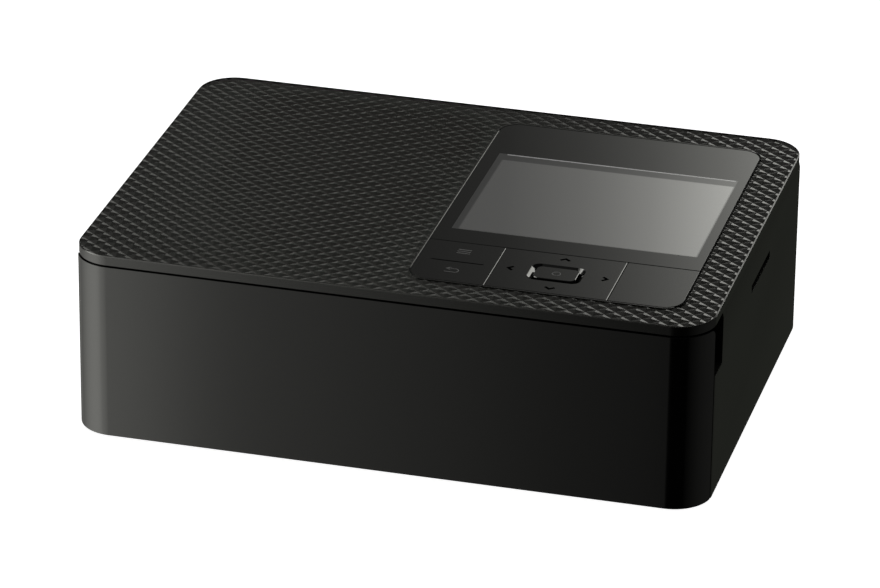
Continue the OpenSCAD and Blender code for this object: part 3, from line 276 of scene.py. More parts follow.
# Low behind the part: the grain's faces that lean back and to the right mirror this one
card(
    "rear_low_card", (0.0, 1.05, 0.245), (0.0, 0.0, 0.245), 0.9, 0.23,
    [
        (0.0, 1.1), (0.1, 1.0), (0.155, 0.75), (0.186, 0.35), (0.226, 0.12), (0.25, 0.05), (0.3, 0.0),
        (0.333, 0.0), (0.368, 0.12), (0.408, 0.45), (0.45, 1.4), (0.583, 2.9), (1.0, 3.1),
    ],
)
# A black board low at the left: the grain's faces that lean back and to the left stay dark
card("rear_black_card", (-0.57, 1.04, -0.08), (-0.57, 0.0, -0.08), 0.9, 0.36, 0.0)
# High behind and dim: it lifts the grain's front faces to a dark grey, less so at the right
card(
    "upper_card", (-0.35, 1.05, 1.2), (-0.35, 0.0, 1.2), 1.4, 0.8,
    [
        (0.0, 0.36), (0.3, 0.34), (0.36, 0.24), (0.40, 0.12), (0.5, 0.12), (0.6, 0.32), (0.66, 0.28),
        (0.73, 0.04), (1.0, 0.0),
    ],
)
# A narrow bright strip at the right: the thin lines along edges that lean to the right
card("strip_card", (0.53, 1.0, 0.36), (0.53, 0.0, 0.36), 0.24, 0.34, 3.4)
# Low behind at the right, very dim and slightly olive: the right side mirrors this one
card("side_card", (0.5, 1.06, -0.5), (0.5, 0.0, -0.5), 1.3, 0.8, 0.045, tint=OLIVE)

# %% [markdown]
# ## The cards before and beside the part
# The upright faces mirror what stands low in front of them. The floor is hidden from reflections, so a
# card can reach below the table's level and still be mirrored.

# %% Place the front and side cards, and the lamp
# Below the table's level in front: the cover mirrors this one, bright at its left and black at its right
card(
    "front_card", (0.05, -0.6, -0.24), (0.05, 0.0, -0.24), 1.14, 0.44,
    [
        (0.0, 0.0), (0.515, 0.0), (0.535, 0.13), (0.56, 0.18), (0.588, 0.2), (0.6, 0.23), (0.614, 0.26),
        (0.632, 0.32), (0.658, 0.38), (0.684, 0.45), (0.71, 0.55), (0.737, 0.61), (0.745, 0.68),
        (0.763, 0.84), (0.775, 1.25), (0.82, 1.95), (0.895, 2.35), (1.0, 2.6),
    ],
)
# Overhead in front: the lid's chamfered edge mirrors this one
card(
    "front_high_card", (-0.27, -0.55, 1.0), (-0.27, 0.0, 0.057), 0.6, 0.9,
    [
        (0.0, 0.0), (0.2, 0.03), (0.27, 0.06), (0.352, 0.12), (0.435, 0.22), (0.517, 0.5), (0.598, 1.15),
        (0.665, 1.75), (0.717, 1.9), (0.8, 2.6), (1.0, 3.5),
    ],
)
# At the right: the faint grey on the cover's right corner
card(
    "right_card", (0.6, -0.05, -0.32), (0.0, -0.05, -0.32), 1.9, 0.6,
    [
        (0.0, 0.02), (0.06, 0.03), (0.29, 0.07), (0.44, 0.1), (0.53, 0.1), (0.66, 0.06), (0.75, 0.03),
        (0.85, 0.0), (1.0, 0.0),
    ],
)
# At the left: the soft line down the cover's left corner
card(
    "left_card", (-0.95, -0.25, -0.45), (0.0, -0.25, -0.45), 2.5, 0.8,
    [
        (0.0, 2.6), (0.11, 2.8), (0.2, 3.0), (0.29, 3.1), (0.36, 2.95), (0.44, 2.6), (0.51, 2.1),
        (0.58, 1.5), (0.65, 0.95), (0.76, 0.42), (1.0, 0.35),
    ],
)
# High at the left: the bright edge of the lid at its left front corner
card(
    "left_high_card", (-0.95, -0.32, 1.05), (0.0, -0.32, 1.05), 1.2, 0.9,
    [(0.0, 2.5), (0.3, 4.0), (0.45, 6.0), (0.62, 8.0), (0.8, 8.0), (0.95, 5.0), (1.0, 3.0)],
)
lamp("top_softbox", (0.0, -0.1, 1.4), (0.0, 0.0, 0.0), 1.6, 9)

# %% [markdown]
# ## Shader groups
# Nearly every piece here is moulded plastic, and moulded plastic is never perfectly even. One group makes
# a fine spark-eroded texture, and slow changes of gloss such as flow and handling leave. Each material
# places this group with its own scale and strength.

# %% A group that the finishes share
def new_group(name, inputs, outputs):
    """An empty shader group with float inputs {name: default} and float outputs [name]."""
    group = bpy.data.node_groups.new(name, "ShaderNodeTree")
    for label, value in inputs.items():
        socket = group.interface.new_socket(label, in_out="INPUT", socket_type="NodeSocketFloat")
        socket.default_value = value
    for label in outputs:
        group.interface.new_socket(label, in_out="OUTPUT", socket_type="NodeSocketFloat")
    return group, group.nodes.new("NodeGroupInput"), group.nodes.new("NodeGroupOutput")


def make_mould_texture():
    """Fine noise for a bump, and slow noise that shifts roughness, both on Object coordinates.
    The roughness is Roughness + (cloud - 1/2) * Change."""
    group, enter, leave = new_group(
        "mould_texture",
        {"Grain scale": 4000.0, "Cloud scale": 30.0, "Roughness": 0.4, "Change": 0.05},
        ["Height", "Roughness"],
    )
    place = group.nodes.new("ShaderNodeTexCoord")
    grain = group.nodes.new("ShaderNodeTexNoise")
    grain.inputs["Detail"].default_value = 2
    cloud = group.nodes.new("ShaderNodeTexNoise")
    cloud.inputs["Detail"].default_value = 3
    swing = group.nodes.new("ShaderNodeMath")
    swing.operation = "MULTIPLY_ADD"
    base = group.nodes.new("ShaderNodeMath")
    base.operation = "SUBTRACT"
    half = group.nodes.new("ShaderNodeMath")
    half.operation = "MULTIPLY"
    half.inputs[1].default_value = 0.5
    link = group.links.new
    link(place.outputs["Object"], grain.inputs["Vector"])
    link(place.outputs["Object"], cloud.inputs["Vector"])
    link(enter.outputs["Grain scale"], grain.inputs["Scale"])
    link(enter.outputs["Cloud scale"], cloud.inputs["Scale"])
    link(enter.outputs["Change"], half.inputs[0])
    link(enter.outputs["Roughness"], base.inputs[0])
    link(half.outputs[0], base.inputs[1])
    link(cloud.outputs["Fac"], swing.inputs[0])
    link(enter.outputs["Change"], swing.inputs[1])
    link(base.outputs[0], swing.inputs[2])
    link(grain.outputs["Fac"], leave.inputs["Height"])
    link(swing.outputs[0], leave.inputs["Roughness"])
    return group


mould_texture = make_mould_texture()
print("groups:", [group.name for group in bpy.data.node_groups])

# %% [markdown]
# ## Finishes
# A finish is one Principled shader with the shared texture group. Black plastics differ mostly in gloss:
# the housing is satin, the cover a little smoother, and the keys and the display are polished.

# %% Make a finish
BUMP_UNIT, BUMP_STRENGTH = 0.01 * MM, 0.4
INK = (0.003, 0.003, 0.0035)


def finish(name, colour, roughness, metallic=0.0, grain=4000.0, bump=0.1, change=0.05):
    """A material with a fine mould texture. `bump` is the depth of the grain in hundredths of a
    millimetre, `grain` its scale, and `change` how far the roughness drifts."""
    material = bpy.data.materials.new(name)
    material.use_nodes = True
    tree = material.node_tree
    shader = tree.nodes["Principled BSDF"]
    shader.inputs["Base Color"].default_value = (*colour, 1)
    shader.inputs["Metallic"].default_value = metallic
    texture = tree.nodes.new("ShaderNodeGroup")
    texture.node_tree = mould_texture
    texture.inputs["Grain scale"].default_value = grain
    texture.inputs["Roughness"].default_value = roughness
    texture.inputs["Change"].default_value = change
    dent = tree.nodes.new("ShaderNodeBump")
    dent.inputs["Strength"].default_value = BUMP_STRENGTH
    dent.inputs["Distance"].default_value = bump * BUMP_UNIT
    tree.links.new(texture.outputs["Height"], dent.inputs["Height"])
    tree.links.new(texture.outputs["Roughness"], shader.inputs["Roughness"])
    tree.links.new(dent.outputs["Normal"], shader.inputs["Normal"])
    return material


# %% Build the finishes and dress the nodes
FINISHES = {
    name: finish(name, colour, roughness, **rest)
    for name, colour, roughness, rest in (
        ("case_black", (0.0065, 0.0065, 0.0052), 0.26, dict(bump=0.5)),
        ("cover_black", (0.004, 0.004, 0.0042), 0.14, dict(bump=0.2, change=0.03)),
        ("key_gloss", (0.004, 0.004, 0.0045), 0.10, dict(bump=0.05, change=0.03)),
        ("panel_glass", INK, 0.04, dict(bump=0.0, change=0.01)),
        ("lcd_grey", (0.06, 0.065, 0.07), 0.12, dict(bump=0.0, change=0.02)),
        ("inner_black", (0.02, 0.02, 0.021), 0.5, dict(bump=0.8)),
        ("board_green", (0.02, 0.12, 0.06), 0.35, dict(grain=900, bump=0.5)),
        ("parts_dark", (0.03, 0.03, 0.033), 0.45, dict(bump=0.5)),
        ("contact_steel", (0.62, 0.62, 0.63), 0.28, dict(metallic=1, grain=900, bump=0.3)),
        ("plate_steel", (0.50, 0.51, 0.53), 0.36, dict(metallic=1, grain=700, bump=0.6, change=0.12)),
        ("shaft_steel", (0.62, 0.62, 0.63), 0.2, dict(metallic=1, grain=2000, bump=0.1)),
        ("brass", (0.70, 0.52, 0.24), 0.28, dict(metallic=1, grain=2000, bump=0.2)),
        ("gear_white", (0.72, 0.70, 0.63), 0.42, dict(bump=0.4)),
        ("roller_rubber", (0.03, 0.03, 0.032), 0.75, dict(grain=2500, bump=1.5)),
        ("head_alu", (0.60, 0.61, 0.62), 0.34, dict(metallic=1, grain=1200, bump=0.5)),
        ("head_ceramic", (0.66, 0.62, 0.54), 0.22, dict(bump=0.1)),
        ("ribbon_grey", (0.09, 0.10, 0.115), 0.4, dict(bump=0.6)),
        ("ribbon_dye", (0.55, 0.42, 0.03), 0.22, dict(bump=0.1)),
        ("lever_blue", (0.07, 0.19, 0.38), 0.36, dict(bump=0.4)),
        ("foot_rubber", (0.04, 0.04, 0.04), 0.8, dict(grain=2500, bump=1.5)),
    )
}
MARK_GREY = finish("mark_grey", (0.11, 0.11, 0.11), 0.4)
# Dull black: the chevrons' print, and also a painted shadow line along the lid's rim
DARK_PRINT_AND_SHADE = finish("dark_print_and_shade", (0.0015, 0.0015, 0.0015), 0.6)
DARK_PRINT_AND_SHADE.node_tree.nodes["Principled BSDF"].inputs["Specular IOR Level"].default_value = 0.0
WELL_GLOSS = finish("well_gloss", (0.002, 0.002, 0.0022), 0.08, bump=0.0, change=0.01)
slot_of = {part["node"]: part["material_slot"] for part in frame["record"]["subparts"]}
for name, node in nodes.items():
    node.data.materials.clear()
    node.data.materials.append(FINISHES[slot_of[name]])
print("finishes:", len(FINISHES))

# %% [markdown]
# ## The display
# The pane is black ink behind clear glass, with a window for the display. Seen from the side, the display
# lies a little deeper, and a dimmer grey margin at its left and rear is painted shade for that depth. A
# pale line along its rear is a painted highlight that stands for the light on the edge of its metal frame.
# Each area is a rectangle on Object coordinates, cut out with soft comparisons.

# %% A group that cuts a rectangle
def make_window():
    """A mask that is 1 inside the rectangle X0..X1, Y0..Y1 and falls to 0 at its edges over `Soft`.
    It is the product of four ramps: (x - X0), (X1 - x), (y - Y0) and (Y1 - y), each divided by Soft."""
    group, enter, leave = new_group(
        "window", {"X0": 0.0, "X1": 1.0, "Y0": 0.0, "Y1": 1.0, "Soft": 0.0002}, ["Mask"]
    )
    place = group.nodes.new("ShaderNodeTexCoord")
    split = group.nodes.new("ShaderNodeSeparateXYZ")
    link = group.links.new
    link(place.outputs["Object"], split.inputs["Vector"])

    def math_node(operation, a, b, clamp=False):
        node = group.nodes.new("ShaderNodeMath")
        node.operation, node.use_clamp = operation, clamp
        link(a, node.inputs[0])
        link(b, node.inputs[1])
        return node.outputs[0]

    mask = None
    for axis in "XY":
        here = split.outputs[axis]
        for a, b in ((here, enter.outputs[axis + "0"]), (enter.outputs[axis + "1"], here)):
            ramp = math_node("DIVIDE", math_node("SUBTRACT", a, b), enter.outputs["Soft"], clamp=True)
            mask = ramp if mask is None else math_node("MULTIPLY", mask, ramp)
    link(mask, leave.inputs["Mask"])
    return group


# %% The pane's material
WINDOW_INSET_X, WINDOW_INSET_Y = 1.0, 3.8
# Painted shade: the widths of a dimmer grey margin at the display's left and rear, for its depth behind the
# ink
SHADE_MARGIN_LEFT, SHADE_MARGIN_REAR = 1.7, 4.2
# Painted highlight: where a pale line runs along the display's rear, for the light on its metal frame's
# edge
HIGHLIGHT_START, HIGHLIGHT_STOP, HIGHLIGHT_FRONT, HIGHLIGHT_REAR = 2.3, 0.5, 0.9, 0.1


def display_pane():
    """The pane's finish: ink, then the painted shade margin, the display and the painted highlight along
    the frame's edge laid over it in turn.
    Each layer has its rectangle, its soft width in millimetres, its grey and how metallic it is."""
    (x0, x1), (y0, y1), _ = extent("lcd_module")
    x0, x1, y0, y1 = x0 + WINDOW_INSET_X, x1 - WINDOW_INSET_X, y0 + WINDOW_INSET_Y, y1 - WINDOW_INSET_Y
    # The first layer is painted shade and the last a painted highlight. The display between them has its
    # own grey
    layers = (
        ("painted_shade_margin", (x0, x1, y0, y1), 0.15, 0.14, 0.5),
        ("display", (x0 + SHADE_MARGIN_LEFT, x1, y0, y1 - SHADE_MARGIN_REAR), 0.6, 0.37, 0.72),
        ("painted_highlight_edge", (x0 + HIGHLIGHT_START, x1 - HIGHLIGHT_STOP, y1 - HIGHLIGHT_FRONT, y1 - HIGHLIGHT_REAR), 0.3, 0.78, 0.0),
    )
    material = finish("display_pane", INK, 0.04, bump=0.0, change=0.01)
    tree = material.node_tree
    window = make_window()
    colour, metal = None, None
    for label, sides, soft, grey, metallic in layers:
        area = tree.nodes.new("ShaderNodeGroup")
        area.node_tree = window
        area.label = label
        for socket, value in zip(("X0", "X1", "Y0", "Y1", "Soft"), (*sides, soft)):
            area.inputs[socket].default_value = value * MM
        paint_over = tree.nodes.new("ShaderNodeMix")
        paint_over.data_type = "RGBA"
        paint_over.inputs["A"].default_value = (*INK, 1)
        paint_over.inputs["B"].default_value = (grey, grey, grey, 1)
        metal_over = tree.nodes.new("ShaderNodeMix")
        metal_over.inputs["A"].default_value = 0.0
        metal_over.inputs["B"].default_value = metallic
        tree.links.new(area.outputs["Mask"], paint_over.inputs["Factor"])
        tree.links.new(area.outputs["Mask"], metal_over.inputs["Factor"])
        if colour is not None:
            tree.links.new(colour, paint_over.inputs["A"])
            tree.links.new(metal, metal_over.inputs["A"])
        colour = next(o for o in paint_over.outputs if o.type == "RGBA")
        metal = next(o for o in metal_over.outputs if o.type == "VALUE")
    shader = tree.nodes["Principled BSDF"]
    tree.links.new(colour, shader.inputs["Base Color"])
    tree.links.new(metal, shader.inputs["Metallic"])
    print("window in mm:", [round(side, 2) for side in (x0, x1, y0, y1)])
    return material


nodes["display_glass"].data.materials[0] = display_pane()

# %% [markdown]
# ## Moulded edges
# A solid model's edges are perfectly sharp, and no moulded edge is. The highlight along a seam comes
# from its small radius. A copy of each outer node is merged and simplified, and a Bevel modifier rounds
# its edges by a fraction of a millimetre. The copy then stands for the node.

# %% Round the edges of a piece
def round_edges(piece, name, width_mm, segments, angle, clamp=True):
    """A Bevel modifier on all edges that turn by more than `angle` degrees.
    One segment leaves a flat chamfer between flat faces, and more segments make a smooth round."""
    bevel = piece.modifiers.new(name, "BEVEL")
    bevel.width, bevel.segments = width_mm * MM, segments
    bevel.limit_method, bevel.angle_limit = "ANGLE", math.radians(angle)
    bevel.use_clamp_overlap = clamp
    bevel.harden_normals = segments > 1
    for face in piece.data.polygons:
        face.use_smooth = segments > 1


# %% A softened copy of a node
SHARP_ANGLE = 28
MERGE_DISTANCE, FLAT_ANGLE = 1e-6, 0.3


def softened(node, width_mm, segments, clamp, reshape):
    """A copy of a node with its sharp edges rounded by `width_mm`. It takes the node's place and body.
    `reshape` maps all corners, in millimetres, before the rounding."""
    piece = add_object("soft_" + node, nodes[node].data.copy())
    work = bmesh.new()
    work.from_mesh(piece.data)
    bmesh.ops.remove_doubles(work, verts=work.verts, dist=MERGE_DISTANCE)
    bmesh.ops.dissolve_limit(
        work, angle_limit=math.radians(FLAT_ANGLE), verts=work.verts, edges=work.edges
    )
    if reshape is not None:
        corners = np.array([v.co[:] for v in work.verts]) / MM
        for vert, place in zip(work.verts, reshape(corners) * MM):
            vert.co = place
    work.to_mesh(piece.data)
    work.free()
    if "custom_normal" in piece.data.attributes:
        piece.data.attributes.remove(piece.data.attributes["custom_normal"])
    round_edges(piece, "edges", width_mm, segments, SHARP_ANGLE, clamp)
    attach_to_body(piece, nodes[node]["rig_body"])
    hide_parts(node)
    return piece


# %% [markdown]
# The solid lid has a rather broad rim. The picture's is thin, so the lid's copy is also reshaped. The pad
# and the middle key have very short edges at which a clamped bevel shrinks to nothing, so theirs isn't
# clamped. On the menu key an unclamped bevel makes a spike, so it stays clamped there.

# %% Thin the lid's rim
FIELD_INSET, CHAMFER_INSET, BAND_INSET = 1.4, 0.7, 0.3
RIM_SHIFT, CHAMFER_SHIFT = 0.78, 0.18
ON_EDGE, UNDER_TOP, UNDER_FIELD = 0.02, 0.1, 0.6


def thin_rim(corners):
    """Make the lid's rim and its chamfer thinner, so the grain runs nearly to the edge.
    A corner's inset is its distance inside the body's outline: r - |p - core|, where core is the nearest
    point of the rectangle of corner centres. The sunk field's edge and the chamfer's top move outwards, and
    the chamfer's foot moves up by the same amount, so the chamfer stays at 45 degrees."""
    half = np.array([BODY_X1, BODY_Y1])
    core = np.clip(corners[:, :2], BODY_R - half, half - BODY_R)
    away = corners[:, :2] - core
    reach = np.linalg.norm(away, axis=1)
    inset = BODY_R - reach
    depth = BODY_TOP - corners[:, 2]
    moved = corners.copy()
    for wanted, deepest, shift in (
        (FIELD_INSET, UNDER_FIELD, RIM_SHIFT), (CHAMFER_INSET, UNDER_TOP, CHAMFER_SHIFT)
    ):
        chosen = (np.abs(inset - wanted) < ON_EDGE) & (depth < deepest)
        moved[chosen, :2] += away[chosen] / reach[chosen, None] * shift
        print("corners moved:", int(chosen.sum()))
    chamfer = CHAMFER_INSET - BAND_INSET
    foot = (np.abs(inset - BAND_INSET) < ON_EDGE) & (np.abs(depth - chamfer) < ON_EDGE)
    moved[foot, 2] += CHAMFER_SHIFT
    return moved


# %% Soften the outer pieces
for node, width, segments, clamp, reshape in (
    ("top_shell", 0.1, 2, True, thin_rim), ("front_cover", 0.18, 2, True, None),
    ("ribbon_door", 0.2, 2, True, None), ("display_glass", 0.08, 2, True, None),
    ("menu_key", 0.14, 1, True, None), ("nav_pad", 0.12, 1, False, None),
    ("ok_key", 0.14, 1, False, None), ("print_key", 0.1, 2, True, None),
):
    piece = softened(node, width, segments, clamp, reshape)
    print(piece.name, len(piece.data.polygons), "faces")

# %% [markdown]
# ## Two bright edges
# In the picture a fine bright line runs down the menu key's right edge, whose clamped bevel is too small to
# show, and another down the lid's edge at the panel's left. Both edges are broken by a small 45 degree
# chamfer that leans to the right: a closed three-sided bar that fills a little of the gap beside the edge.

# %% Bars with a leaning face
BAR_WIDTH, BAR_SUNK = 0.13, 0.02
BAR_END_FRONT, BAR_END_REAR, LID_BAR_END = 0.2, 0.1, PANEL_R + 0.4


def attach(piece, body, slot_name, material=None):
    """Let a new piece ride on a body. It wears its slot's finish, or another material of its own."""
    piece.data.materials.append(material or FINISHES[slot_name])
    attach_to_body(piece, body)


def edge_bar(name, x, front, rear, body, slot_name):
    """A bar along Y whose section is a triangle: up at x, and down by its width at x + width."""
    section = [(x, BODY_TOP), (x + BAR_WIDTH, BODY_TOP - BAR_WIDTH), (x, BODY_TOP - BAR_WIDTH)]
    corners = np.array([[across, y, height] for y in (front, rear) for across, height in section])
    bar = mesh_piece(name, corners * MM, [[0, 1, 4, 3], [1, 2, 5, 4], [2, 0, 3, 5], [0, 2, 1], [3, 4, 5]])
    attach(bar, body, slot_name)


(_, menu_right), (menu_front, menu_rear), _ = extent("menu_key")
edge_bar(
    "menu_edge", menu_right - BAR_SUNK, menu_front + BAR_END_FRONT, menu_rear - BAR_END_REAR,
    "menu_key", "key_gloss",
)
edge_bar(
    "panel_edge", PANEL_X0 - PANEL_GAP - BAR_SUNK, PANEL_Y0 + LID_BAR_END, PANEL_Y1 - LID_BAR_END,
    "housing", "case_black",
)
print("bars:", BAR_WIDTH, "mm wide")

# %% [markdown]
# ## The marks on the keys
# The keys carry generic symbols: three bars for the menu, a bent arrow for back, a ring on the middle key
# and four chevrons round it. Bars, arrow and ring are printed in a dull grey. The chevrons are dull black.
# Each mark is a thin closed plate that stands a few hundredths of a millimetre proud.

# %% Plates along paths
MARK_PROUD = 0.02
MITRE_LIMIT = 0.3


def stroke(path, width, closed=False):
    """A closed plate of even width along a path, as arrays (points, faces), in millimetres.
    The left and right rims lie at path +/- normal * width / 2, with the normal at each corner stretched
    by 1 / cos(half the turn), so a mitred corner keeps the stroke's width. Rims at two heights make the
    walls."""
    path = np.asarray(path, float)
    if closed:
        before, after = np.roll(path, 1, axis=0), np.roll(path, -1, axis=0)
    else:
        before = np.vstack([2 * path[0] - path[1], path[:-1]])
        after = np.vstack([path[1:], 2 * path[-1] - path[-2]])
    a = path - before
    b = after - path
    a /= np.linalg.norm(a, axis=1)[:, None]
    b /= np.linalg.norm(b, axis=1)[:, None]
    side = np.stack([-(a + b)[:, 1], (a + b)[:, 0]], 1)
    side /= np.linalg.norm(side, axis=1)[:, None]
    cosine = np.sum(side * np.stack([-a[:, 1], a[:, 0]], 1), axis=1)
    side /= np.maximum(cosine, MITRE_LIMIT)[:, None]
    left, right = path + side * width / 2, path - side * width / 2
    rims = np.stack([left, right, right, left], 1)
    high, low = BODY_TOP + MARK_PROUD, BODY_TOP - MARK_PROUD
    count = len(path)
    heights = np.broadcast_to(np.array([high, high, low, low])[None, :, None], (count, 4, 1))
    points = np.concatenate([rims, heights], 2).reshape(-1, 3)
    here = np.arange(count if closed else count - 1)
    there = (here + 1) % count
    k = np.arange(4)
    walls = np.stack([
        here[:, None] * 4 + k, there[:, None] * 4 + k,
        there[:, None] * 4 + (k + 1) % 4, here[:, None] * 4 + (k + 1) % 4,
    ], 2).reshape(-1, 4)
    if not closed:
        last = count * 4
        walls = np.vstack([walls, [[0, 1, 2, 3], [last - 1, last - 2, last - 3, last - 4]]])
    return points, walls


# %% Arcs, and pieces made of strokes
def arc(centre, r, start, end, steps=24):
    """Points of an arc: centre + r (cos t, sin t), with t in degrees from `start` to `end`."""
    t = np.radians(np.linspace(start, end, steps))
    return np.stack([centre[0] + r * np.cos(t), centre[1] + r * np.sin(t)], 1)


def face_outwards(piece):
    """Turn all faces of a closed piece outwards."""
    work = bmesh.new()
    work.from_mesh(piece.data)
    bmesh.ops.recalc_face_normals(work, faces=work.faces)
    work.to_mesh(piece.data)
    work.free()


def mark(name, strokes, body, slot_name, material):
    """One piece from several strokes, riding on a body."""
    points = np.concatenate([p for p, _ in strokes])
    starts = np.cumsum([0] + [len(p) for p, _ in strokes[:-1]])
    faces = np.concatenate([f + start for (_, f), start in zip(strokes, starts)])
    piece = mesh_piece(name, points * MM, faces)
    face_outwards(piece)
    attach(piece, body, slot_name, material)
    print(name, len(faces), "faces")


# %% Bars, arrow and ring
MENU_AT, BAR_HALF, BAR_STEP, BAR_STROKE = (14.5, -35.3), 1.9, 1.15, 0.42
BEND_AT, BEND_R, ARROW_STROKE = (15.1, -48.0), 1.1, 0.32
LINE_FROM, LINE_TO, TIP_AT, WING_AT, WING = 2.1, 2.8, 2.6, 1.4, 0.8
RING_AT, RING_R, RING_STROKE = (42.6, -42.25), 1.15, 0.34

menu_x, menu_y = MENU_AT
bars = [
    stroke([(menu_x - BAR_HALF, menu_y + lift), (menu_x + BAR_HALF, menu_y + lift)], BAR_STROKE)
    for lift in (-BAR_STEP, 0, BAR_STEP)
]
bend_x, bend_y = BEND_AT
top, low = bend_y + BEND_R, bend_y - BEND_R
bend = arc(BEND_AT, BEND_R, 90, -90, 16)
back_line = np.vstack([[(bend_x - LINE_FROM, top)], bend, [(bend_x - LINE_TO, low)]])
back_head = [(bend_x - WING_AT, top + WING), (bend_x - TIP_AT, top), (bend_x - WING_AT, top - WING)]
arrow = [stroke(back_line, ARROW_STROKE), stroke(back_head, ARROW_STROKE)]
mark("menu_marks", bars + arrow, "menu_key", "key_gloss", MARK_GREY)
ring = stroke(arc(RING_AT, RING_R, 0, 345), RING_STROKE, closed=True)
mark("ok_mark", [ring], "ok_key", "key_gloss", MARK_GREY)

# %% Chevrons, and a painted shadow line along the lid's rim
CHEVRON_STROKE = 0.8
RIM_SHADE_OUT, RIM_SHADE_STROKE = 0.5, 0.32


def chevron(centre, out, half_span, half_depth):
    """An angle whose tip points along `out`: its arms end half a span to either side and lie back."""
    centre, out = np.array(centre), np.array(out)
    along = np.abs(out[::-1]) * half_span
    tip = out * half_depth
    return stroke([centre - along - tip, centre + tip, centre + along - tip], CHEVRON_STROKE)


mark("pad_marks", [
    chevron((42.85, -32.6), (0, 1), 1.35, 0.55), chevron((42.95, -51.7), (0, -1), 1.35, 0.55),
    chevron((29.5, -42.0), (-1, 0), 1.2, 0.65), chevron((56.2, -41.85), (1, 0), 1.2, 0.65),
], "nav_pad", "key_gloss", DARK_PRINT_AND_SHADE)
front_corner, rear_corner = (
    (PANEL_X1 - PANEL_R, PANEL_Y0 + PANEL_R), (PANEL_X1 - PANEL_R, PANEL_Y1 - PANEL_R)
)
rim_shade_r = PANEL_R + RIM_SHADE_OUT
rim_shade_path = np.vstack([arc(front_corner, rim_shade_r, -50, 0, 12), arc(rear_corner, rim_shade_r, 0, 50, 12)])
# Painted shadow: a dark strip where the lid's rim drops to the panel at its right, standing for the shade
# in that gap
mark("rim_shadow", [stroke(rim_shade_path, RIM_SHADE_STROKE)], "housing", "case_black", DARK_PRINT_AND_SHADE)

# %% [markdown]
# ## The well round the middle key
# The middle key stands in a well whose sides slope like a funnel. The left slope leans to the right and
# catches a bright light, and the other slopes stay black. The well is a four-sided section carried round
# a rectangle with round corners.

# %% Rings with round corners
SHARPEST_R = 0.1


def rounded_ring(x0, x1, y0, y1, r, steps=16):
    """Points round a rectangle with round corners, anticlockwise."""
    angles = np.linspace(0, np.pi / 2, steps)
    quarters = []
    for k, (cx, cy) in enumerate([(x1 - r, y1 - r), (x0 + r, y1 - r), (x0 + r, y0 + r), (x1 - r, y0 + r)]):
        a = angles + k * np.pi / 2
        quarters.append(np.stack([cx + r * np.cos(a), cy + r * np.sin(a)], 1))
    return np.concatenate(quarters)


def swept_ring(name, box, radius, section, steps=8):
    """A closed ring: at each (inset, depth) of `section`, a rounded rectangle `inset` inside `box` and
    `depth` below the lid's top. Its corner radius shrinks with the inset, down to SHARPEST_R."""
    x0, x1, y0, y1 = box
    loops = [
        np.column_stack([
            rounded_ring(x0 + i, x1 - i, y0 + i, y1 - i, max(radius - i, SHARPEST_R), steps),
            np.full(4 * steps, BODY_TOP - depth),
        ])
        for i, depth in section
    ]
    count, turns = len(loops[0]), len(loops)
    I, J = np.meshgrid(np.arange(count), np.arange(turns), indexing="ij")
    faces = np.stack([
        J * count + I, J * count + (I + 1) % count,
        (J + 1) % turns * count + (I + 1) % count, (J + 1) % turns * count + I,
    ], 2).reshape(-1, 4)
    piece = mesh_piece(name, np.concatenate(loops) * MM, faces)
    face_outwards(piece)
    return piece


# %% Carry the well's section round the middle key
WELL_GAP_X, WELL_GAP_Y, WELL_R = 1.45, 1.5, 2.35
WELL_OUT, WELL_IN = -0.06, 1.05
WELL_LIP, WELL_FOOT, WELL_BASE = 0.01, 1.05, 1.25

(ok_x0, ok_x1), (ok_y0, ok_y1), _ = extent("ok_key")
well = swept_ring(
    "ok_well", (ok_x0 - WELL_GAP_X, ok_x1 + WELL_GAP_X, ok_y0 - WELL_GAP_Y, ok_y1 + WELL_GAP_Y), WELL_R,
    [(WELL_OUT, WELL_LIP), (WELL_IN, WELL_FOOT), (WELL_IN, WELL_BASE), (WELL_OUT, WELL_BASE)],
)
attach(well, "nav_pad", "key_gloss", WELL_GLOSS)
print("well faces:", len(well.data.polygons))

# %% [markdown]
# ## The lid's grain
# The whole lid carries rows of tiny four-sided pyramids, set like diamonds. Each is 5.2 mm wide and
# 4.3 mm deep, and every second row is shifted by half a step, so the bases meet without a gap. Only four
# triangles make a pyramid, so a real mesh costs little, and unlike a bump it catches light on true faces.
# A fine bevel then softens the ridges, as a mould does.

# %% A sheet of pyramids
PITCH_X, PITCH_Y = 5.23, 4.28
APEX_AT = (-1.8, -0.9)
FIELD_Z, PEAK_Z = BODY_TOP - 0.385, BODY_TOP - 0.01


def pyramid_sheet(half_x, half_y):
    """Corners and faces of an open sheet of pyramids.
    Row j lies at y = j * PITCH_Y / 2, shifted by half a pitch on odd rows. Each base is the diamond with
    corners half a pitch away along X and Y, and four triangles rise from it to the apex."""
    rows = np.arange(-math.ceil(half_y / (PITCH_Y / 2)) - 1, math.ceil(half_y / (PITCH_Y / 2)) + 2)
    columns = np.arange(-math.ceil(half_x / PITCH_X) - 1, math.ceil(half_x / PITCH_X) + 2)
    J, I = np.meshgrid(rows, columns, indexing="ij")
    cx = (I * PITCH_X + (J % 2) * PITCH_X / 2 + APEX_AT[0]).ravel()
    cy = (J * PITCH_Y / 2 + APEX_AT[1]).ravel()
    corner = np.array([[PITCH_X / 2, 0], [0, PITCH_Y / 2], [-PITCH_X / 2, 0], [0, -PITCH_Y / 2]])
    count = len(cx)
    points = np.zeros((count, 5, 3))
    points[:, :4, 0] = cx[:, None] + corner[:, 0]
    points[:, :4, 1] = cy[:, None] + corner[:, 1]
    points[:, :4, 2] = FIELD_Z
    points[:, 4] = np.stack([cx, cy, np.full(count, PEAK_Z)], 1)
    sides = np.array([[k, (k + 1) % 4, 4] for k in range(4)]) + np.arange(count)[:, None, None] * 5
    return points.reshape(-1, 3) * MM, sides.reshape(-1, 3)


